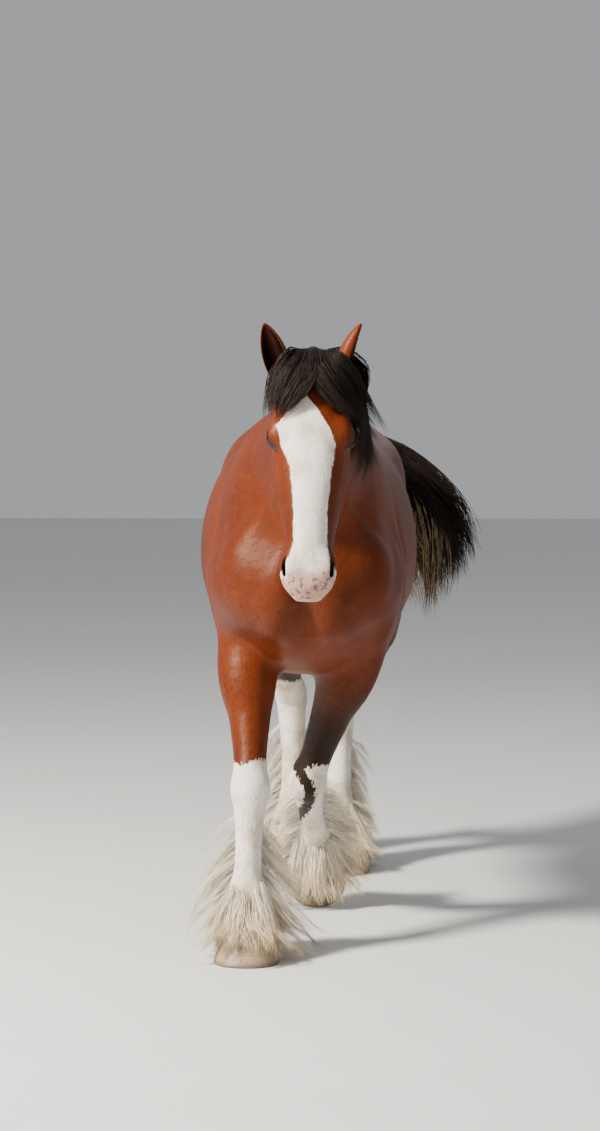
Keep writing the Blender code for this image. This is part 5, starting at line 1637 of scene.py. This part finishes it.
def tail(black, pale):
    """Black hair along the dock, with paler hair below it, swung out to the left."""
    rng = np.random.default_rng(33)
    dock = [Vector(row[:3]) for row in DOCK]
    tips = [Vector(tip) for tip in TAIL_TIPS]
    guides, faces, shares = [], [], []
    for i in range(TAIL_GUIDES):
        share = (i + 0.5) / TAIL_GUIDES
        start, stop, rest = span_at(dock, 0.04 + 0.94 * share)
        root = start.lerp(stop, rest)
        fan = i * GOLDEN % 1.0
        end = point_on(tips, fan)
        end += Vector((rng.uniform(-0.06, 0.0), rng.uniform(-0.11, 0.08), rng.uniform(-0.06, 0.04)))
        run = (stop - start).normalized()
        bend = root.lerp(end, 0.42) + run * 0.11 + Vector((0.02, 0, 0.12 * (1 - share * 0.5)))
        path = []
        for step in range(9):
            t = step / 8
            p = root * (1 - t) ** 2 + bend * 2 * t * (1 - t) + end * t**2
            swing = 0.018 * t
            p += Vector((swing * math.sin(5 * t + i), swing * 1.6 * math.sin(4 * t + 2 * i), 0))
            path.append(np.array(p))
        guides.append(path)
        face = np.array((0.4 * math.sin(2.4 * i), 1.0 if i % 2 else -1.0, 0.3))
        faces.append([face] * len(path))
        # The guides that reach lowest carry most of the paler hair
        shares.append(min(1.0, max(0.0, (fan - 0.30) * 1.5)))
    guides, faces = np.array(guides), np.array(faces)
    shares = np.repeat(shares, TAIL_HAIRS)
    for part, material, nodes in (("tail_black", black, ("tail",)), ("tail_pale", pale, ())):
        path, rise = strands(guides, faces, rng, TAIL_HAIRS, 0.036, 0.030, 10, 0.012, 0.40, 0.30)
        chosen = (rng.random(len(path)) < shares) == (part == "tail_pale")
        path, rise = path[chosen], rise[chosen]
        line = (dock[0], dock[-1])
        item = long_hair(part, path, rise, rng, line, (0.12, 0.2, 0.9), (0.0022, 0.0042), 0.32)
        done(item, material, nodes)


def feather(field, kind, side, material):
    """Long hair round the back and sides of a lower leg, and a fringe all round its pastern."""
    rng = np.random.default_rng(200 + LEGS.index((kind, side)))
    leg = LIMBS[kind][side]
    upper = LEG_JOINTS[kind][1]
    reach = BLOWN_FEATHER if (kind, side) == ("fore", "right") else 1.0
    count, fringe, steps = FEATHER_GUIDES, FRINGE_GUIDES, 8
    roots, ways, lengths = feather_paths(leg, upper, count, rng, reach)
    lengths = np.array(lengths) * rng.uniform(0.72, 1.10, count)
    wave = rng.uniform((-0.12, -0.03, 0), (0.12, 0.12, 0.001), (steps, count, 3))
    if reach > 1:
        # Blown towards the middle, with the tips turned up again
        inner = np.array([w.x > 0.1 for w in ways])
        wave[:, inner, 0] += np.linspace(-0.02, 0.12, steps)[:, None]
        wave[:, inner, 2] += np.linspace(-0.10, 0.12, steps)[:, None]
        wave[:, ~inner, 2] -= 0.04
        lengths[inner] *= 1.12
    sag = [0.08 / reach**4] * count
    lifts = rng.uniform(0.010, 0.045, count)
    back, back_faces = drape(field, roots, ways, lengths, lifts, sag, steps, wave)
    roots, ways, lengths = fringe_paths(leg, fringe, rng)
    # From the fetlock down to the coronet, so that no line of roots shows
    up = rng.uniform(-0.30, 0.85, fringe)
    run = np.array(leg["fetlock"] - coronet_of(leg)) / 1.15
    roots = np.array(roots) + run * up[:, None] + np.array(ways) * -0.010 * up[:, None]
    ways = unit(np.array(ways)) - 0.45 * up[:, None] * unit(run)
    lengths = np.array(lengths) * rng.uniform(1.02, 1.40, fringe) * (1 + 0.40 * up)
    wave = rng.uniform((-0.10, -0.10, 0), (0.10, 0.10, 0.001), (steps, fringe, 3))
    lifts = rng.uniform(0.003, 0.016, fringe)
    ring, ring_faces = drape(field, roots, ways, lengths, lifts, [0.045] * fringe, steps, wave)
    guides, faces = np.concatenate([back, ring]), np.concatenate([back_faces, ring_faces])
    path, rise = strands(guides, faces, rng, FEATHER_HAIRS, 0.034, 0.018, 6, 0.007, 0.40, 0.42)
    path = keep_out(field, path, 0.002)
    # Yellower where it is soiled near the ground
    low = 0.52 * (1 - step_up(path[:, 0, 2], 0.12, 0.34))
    name, line = f"feather_{kind}leg_{side}", (leg[upper], leg["toe"])
    item = long_hair(name, path, rise, rng, line, (0.05, 0.12, 0.90), (0.0013, 0.0024), more=low)
    done(item, material)


# Short hair that breaks the form

# Parts of the map: name, start and end of the line down the middle, and the box that it fills
PARTS = (
    ("trunk", (0, -0.80, 1.25), (0, 1.0, 1.35), (0.02, 0.02, 0.58, 0.38)),
    ("neck", (0.03, -1.12, 1.72), (0, -0.45, 1.35), (0.60, 0.02, 0.98, 0.38)),
    ("head", (0.029, -1.20, 1.80), (0.020, -1.51, 1.16), (0.02, 0.40, 0.38, 0.68)),
)


def part_tables():
    """All parts of the map, with an upper and a lower one for each leg."""
    rows = [(name, Vector(a), Vector(b), box) for name, a, b, box in PARTS]
    for k, (kind, side) in enumerate(LEGS):
        path = leg_path(kind, side)
        left = 0.02 + 0.24 * k
        rows.append((f"{kind}_{side}_upper", path[0], path[1], (left, 0.70, left + 0.22, 0.83)))
        rows.append((f"{kind}_{side}_lower", path[1], path[3], (left, 0.85, left + 0.22, 0.98)))
    return rows


def rag_of(points):
    """How far the hair at a marking's edge strays: little on the face, more on the legs."""
    return np.where(points[:, 1] < -1.08, np.where(points[:, 2] > 1.0, 0.012, 0.05), 0.05)


def lie_of(points, normals):
    """The way the coat lies: back along the trunk, down the neck, the face and the legs."""
    rows = part_tables()
    weight, way = [], []
    for name, a, b, _ in rows:
        away, _ = off_path(points, [a, b])
        radius = 0.30 if name == "trunk" else (0.17 if name in ("neck", "head") else 0.09)
        weight.append(np.exp(-np.maximum(away - radius, 0) / 0.05) + 1e-6)
        way.append(np.array((b - a).normalized()))
    weight = np.stack(weight, 1)
    weight /= weight.sum(1, keepdims=True)
    lie = weight @ np.array(way)
    lie[:, 2] -= 0.25
    lie -= normals * (lie * normals).sum(1, keepdims=True)
    return unit(lie), weight


def bare_places(middle, local, on_head, hollow):
    """Where no tufts grow: the nose, round the eyes, in the openings and inside the hooves."""
    bare = (on_head & (local[:, 1] > 0.60)) | (hollow > 0.3) | (middle[:, 2] < 0.10)
    for side in SIDES.values():
        eye = np.array((side * EYE.x, EYE.y, EYE.z))
        bare |= np.linalg.norm(local - eye, axis=1) < 0.040
    return bare


def short_coat(field, points, faces, hollow, material):
    """Tufts over the whole skin, closer on the head and low on the legs."""
    rng = np.random.default_rng(9)
    count = COAT_TUFTS
    tri = np.array([(f[0], f[i], f[i + 1]) for f in faces for i in range(1, len(f) - 1)])
    a, b, c = (points[tri[:, k]] for k in range(3))
    middle = (a + b + c) / 3
    cross = np.cross(b - a, c - a)
    normal = unit(cross)
    some = slice(0, None, 400)
    normal *= np.sign((normal[some] * slopes(field, middle[some])).sum())
    local = into(middle, HEAD_FRAME)
    on_head = (local[:, 1] > -0.20) & (middle[:, 1] < -1.08) & (middle[:, 2] > 1.0)
    share = np.linalg.norm(cross, axis=1) / 2
    share = share * np.where(on_head, 2.2, 1.0) * np.where(middle[:, 2] < 0.85, 1.6, 1.0)
    share[bare_places(middle, local, on_head, hollow[tri[:, 0]])] = 0
    pick = rng.choice(len(tri), count, p=share / share.sum())
    s, t = rng.random((2, count))
    over = s + t > 1
    s[over], t[over] = 1 - s[over], 1 - t[over]
    root = a[pick] + s[:, None] * (b - a)[pick] + t[:, None] * (c - a)[pick]
    out = normal[pick]
    lie, weight = lie_of(root, out)
    lie = unit(lie + np.cross(out, lie) * rng.normal(0, 0.18, (count, 1)))
    short = on_head[pick]
    length = np.where(short, HEAD_TUFT[0], BODY_TUFT[0]) * rng.uniform(0.7, 1.3, count)
    length *= np.where(root[:, 2] < 0.85, 1.15, 1.0)
    # From just under the skin to just over it
    at = np.array([0.0, 0.5, 1.0])[None, :, None]
    lift = np.array([-0.0008, 0.0003, 0.0006])[None, :, None]
    path = root[:, None] + lie[:, None] * at * length[:, None, None] + out[:, None] * lift
    rise = np.repeat(out[:, None], 3, 1)
    nearest = weight.argmax(1)
    places = np.zeros((count, 2))
    for k, (_, first, last, box) in enumerate(part_tables()):
        here = nearest == k
        places[here] = unwrap(root[here], first, last, box)
    width = np.where(short, HEAD_TUFT[1], BODY_TUFT[1]) * rng.uniform(0.8, 1.3, count)
    item = hair_mesh("coat_tufts", path, rise, width, 0.12, places, rng)
    size = len(item.data.vertices) // count
    white, dark, _ = marking_edges(middle)
    set_values(item, "white", np.repeat(white[pick], size))
    set_values(item, "dark", np.repeat(dark[pick], size))
    set_values(item, "pink", np.zeros(count * size))
    set_values(item, "rag", np.repeat(rag_of(middle)[pick], size))
    done(item, material)


# Eyes, hooves and skin as pieces

def eyeball(name, side, material):
    """A round eye with a raised cornea, and at each point where it lies to the gaze."""
    centre, gaze, slit, tall = eye_axes(side)
    rows, columns = 40, 64
    points = []
    for i in range(rows + 1):
        polar = math.pi * i / rows
        for j in range(columns):
            turn = 2 * math.pi * j / columns
            x, y = math.sin(polar) * math.cos(turn), math.sin(polar) * math.sin(turn)
            z = math.cos(polar)
            cornea = CORNEA_RISE * (max(0.0, z - 0.62) / 0.38) ** 0.5
            points.append(centre + (slit * x + tall * y + gaze * z) * (EYE_RADIUS + cornea))
    faces = []
    for i in range(rows):
        for j in range(columns):
            a, b = i * columns + j, i * columns + (j + 1) % columns
            faces.append((a, a + columns, b + columns, b))
    item = mesh_of(name + "_ball", np.array(points), faces)
    turn_out(item, merge=True)
    back = np.array([v.co[:] for v in item.data.vertices]) - centre
    back /= np.linalg.norm(back, axis=1)[:, None]
    set_values(item, "gaze", np.stack([back @ slit, back @ tall, 1 - back @ gaze], 1))
    smooth(item)
    done(item, material, (name,))


def hoof_piece(name, leg, material):
    """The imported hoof's form with a rounder outline, and with its rings of growth."""
    place = hoof_frame(leg)
    slope = (CORONET_BACK - CORONET_FRONT).normalized()
    centre = (CORONET_FRONT + CORONET_BACK) / 2
    count, steps = 96, 26
    sole = hoof_outline(HOOF_WIDTH / 2, HOOF_LENGTH / 2, HOOF_LENGTH / 2, count)
    top = hoof_outline(CORONET_WIDTH / 2, (CORONET_BACK - CORONET_FRONT).length / 2, 0.0, count)
    crown = [centre + Vector((p.x, 0, 0)) + slope * p.y for p in top]
    low = [Vector((p.x, p.y, 0.006)) for p in sole]
    rings, heights = [], []
    middle = Vector((0, HOOF_LENGTH / 2, 0))
    # The sole is hollowed inside the flat rim of its wall
    for share, height in ((0.02, 0.010), (0.45, 0.008), (0.70, 0.006), (0.80, 0.0), (0.975, 0.0)):
        up = Vector((0, 0, height))
        rings.append([middle.lerp(Vector((p.x, p.y, 0)), share) + up for p in sole])
        heights.append(0.0)
    # The wall, with two sets of faint rings
    for k in range(steps + 1):
        share = k / steps
        swell = 0.0008 * math.sin(share * 41) + 0.0005 * math.sin(share * 83 + 1)
        ring = []
        for a, b in zip(low, crown):
            p = a.lerp(b, share) + Vector((a.x * 0.030 * share * (1 - share) * 2, 0, 0))
            outward = Vector((p.x, p.y - HOOF_LENGTH / 2, 0)).normalized()
            ring.append(p + outward * (swell - (0.0015 if share > 0.97 else 0.0)))
        rings.append(ring)
        heights.append(share)
    rings.append([centre.lerp(p, 0.7) for p in rings[-1]])
    heights.append(1.0)
    points = np.array([(place @ p)[:] for ring in rings for p in ring])
    if leg["heel_lift"]:
        lowest = points[:, 2].min()
        points[:, 2] = np.maximum(points[:, 2] - lowest - TOE_FLAT, 0.0)
    faces = []
    for i in range(len(rings) - 1):
        for j in range(count):
            a, b = i * count + j, i * count + (j + 1) % count
            faces.append((a, b, b + count, a + count))
    faces.append(tuple(range(count))[::-1])
    faces.append(tuple(range((len(rings) - 1) * count, len(rings) * count)))
    item = mesh_of(name + "_wall", points, faces)
    set_values(item, "height", np.repeat(heights, count))
    turn_out(item)
    smooth(item)
    done(item, material, (name,))


def skin_piece(field, points, faces, material):
    """The skin with its muscles, its markings, painted shade in the openings of the head and the lie of
    its coat.
    """
    item = mesh_of("skin", points, faces)
    turn_out(item)
    normals = np.zeros(len(points) * 3, np.float32)
    item.data.vertices.foreach_get("normal", normals)
    normals = normals.reshape(-1, 3).astype(float)
    normals *= np.sign((normals[::400] * slopes(field, points[::400])).sum())
    plain = points
    points = points + normals * relief(field, points)[:, None]
    item.data.vertices.foreach_set("co", points.astype(np.float32).ravel())
    white, dark, pink = marking_edges(points)
    _, weight = lie_of(points, normals)
    # Painted shade inside the ears, the nostrils and the mouth, darker where the opening goes deeper;
    # round the eyes the dark is partly dark skin and partly painted shade of the socket
    near = (points[:, 1] < -1.02) & (points[:, 2] > 1.05)
    hollow = np.zeros(len(points))
    depth = -skin_field(carved=False)(plain[near])
    hollow[near] = np.clip((depth - 0.0012) / 0.006, 0, 1)
    for side in SIDES.values():
        centre, _, slit, _ = eye_axes(side)
        away = points - centre
        away = np.sqrt((away**2).sum(1) - 0.60 * (away @ slit) ** 2)
        hollow = np.maximum(hollow, 0.92 * (1 - step_up(away, 0.025, 0.035)))
    for name, values in (
        ("white", white),
        ("dark", dark),
        ("pink", pink),
        ("rag", rag_of(points)),
        ("hollow", hollow),
        ("lie_trunk", weight[:, 0]),
        ("lie_neck", weight[:, 1]),
    ):
        set_values(item, name, values)
    smooth(item)
    names = ["torso", "neck", "head", "ear_left", "ear_right"]
    for kind, side in LEGS:
        names += [f"{kind}leg_{side}_upper", f"{kind}leg_{side}_lower"]
    done(item, material, names)
    return points, hollow


# Stage

def area_light(name, place, target, size, power, colour):
    """A round lamp that faces its target."""
    lamp = bpy.data.lights.new(name, "AREA")
    lamp.shape = "DISK"
    lamp.size = size
    lamp.energy = power
    lamp.color = colour
    item = bpy.data.objects.new(name, lamp)
    item.location = place
    item.rotation_euler = (Vector(target) - Vector(place)).to_track_quat("-Z", "Y").to_euler()
    bpy.context.scene.collection.objects.link(item)


def studio():
    """A pale floor, soft light all round and one warm light from the horse's right."""
    material, tree, shader = new_material("pale_floor")
    where = on_model(tree)
    grain = noise(tree, where, 3.0, 4.0)
    tree.links.new(mix(tree, grain, (0.68, 0.68, 0.67), (0.74, 0.74, 0.73)), shader.inputs["Base Color"])
    shader.inputs["Roughness"].default_value = 0.85
    bpy.ops.mesh.primitive_plane_add(size=60, location=(0, 0, 0))
    floor = bpy.context.object
    floor.name = "floor"
    floor.data.materials.append(material)
    world = bpy.data.worlds.new("studio")
    bpy.context.scene.world = world
    world.use_nodes = True
    sky = world.node_tree.nodes["Background"]
    sky.inputs["Color"].default_value = (0.86, 0.89, 0.93, 1.0)
    sky.inputs["Strength"].default_value = 0.45
    area_light("key", (-5.0, -3.4, 5.2), (0, -0.6, 1.1), 1.3, 1750, (1.0, 0.94, 0.85))
    area_light("fill", (4.5, -4.5, 2.2), (0, 0, 1.0), 3.0, 25, (0.85, 0.92, 1.0))
    area_light("rim", (2.0, 5.0, 4.0), (0, 0.4, 1.3), 2.0, 20, (1.0, 0.98, 0.95))


def camera():
    """A long lens 1.73 m up, turned a little down."""
    lens = bpy.data.cameras.new("camera")
    lens.lens = 88.2
    lens.sensor_width = 36
    item = bpy.data.objects.new("camera", lens)
    item.location = Vector((0.204, -9.318, 1.73)) + FRAME_SHIFT
    item.rotation_euler = (math.radians(86.5), 0, math.radians(1.5))
    bpy.context.scene.collection.objects.link(item)
    bpy.context.scene.camera = item


def main():
    """Sets the stage, then makes the skin, the coat, the long hair, the eyes and the hooves."""
    camera()
    studio()
    field = skin_field()
    points, faces = skin_mesh(field)
    points, hollow = skin_piece(field, points, faces, skin_material())
    short_coat(field, points, faces, hollow, tuft_material())
    black = hair_material("black_hair", BLACK_HAIR)
    pale = hair_material("pale_hair", PALE_HAIR, 0.45)
    white = hair_material("white_hair", WHITE_HAIR, 0.55)
    mane(field, black)
    forelock(field, black)
    tail(black, pale)
    over_hooves = skin_field()
    add_hooves(over_hooves)
    for kind, side in LEGS:
        feather(over_hooves, kind, side, white)
    eye = eye_material()
    horn = horn_material()
    for side, way in SIDES.items():
        eyeball("eye_" + side, way, eye)
    for kind, side in LEGS:
        hoof_piece(f"{kind}leg_{side}_hoof", LIMBS[kind][side], horn)


main()
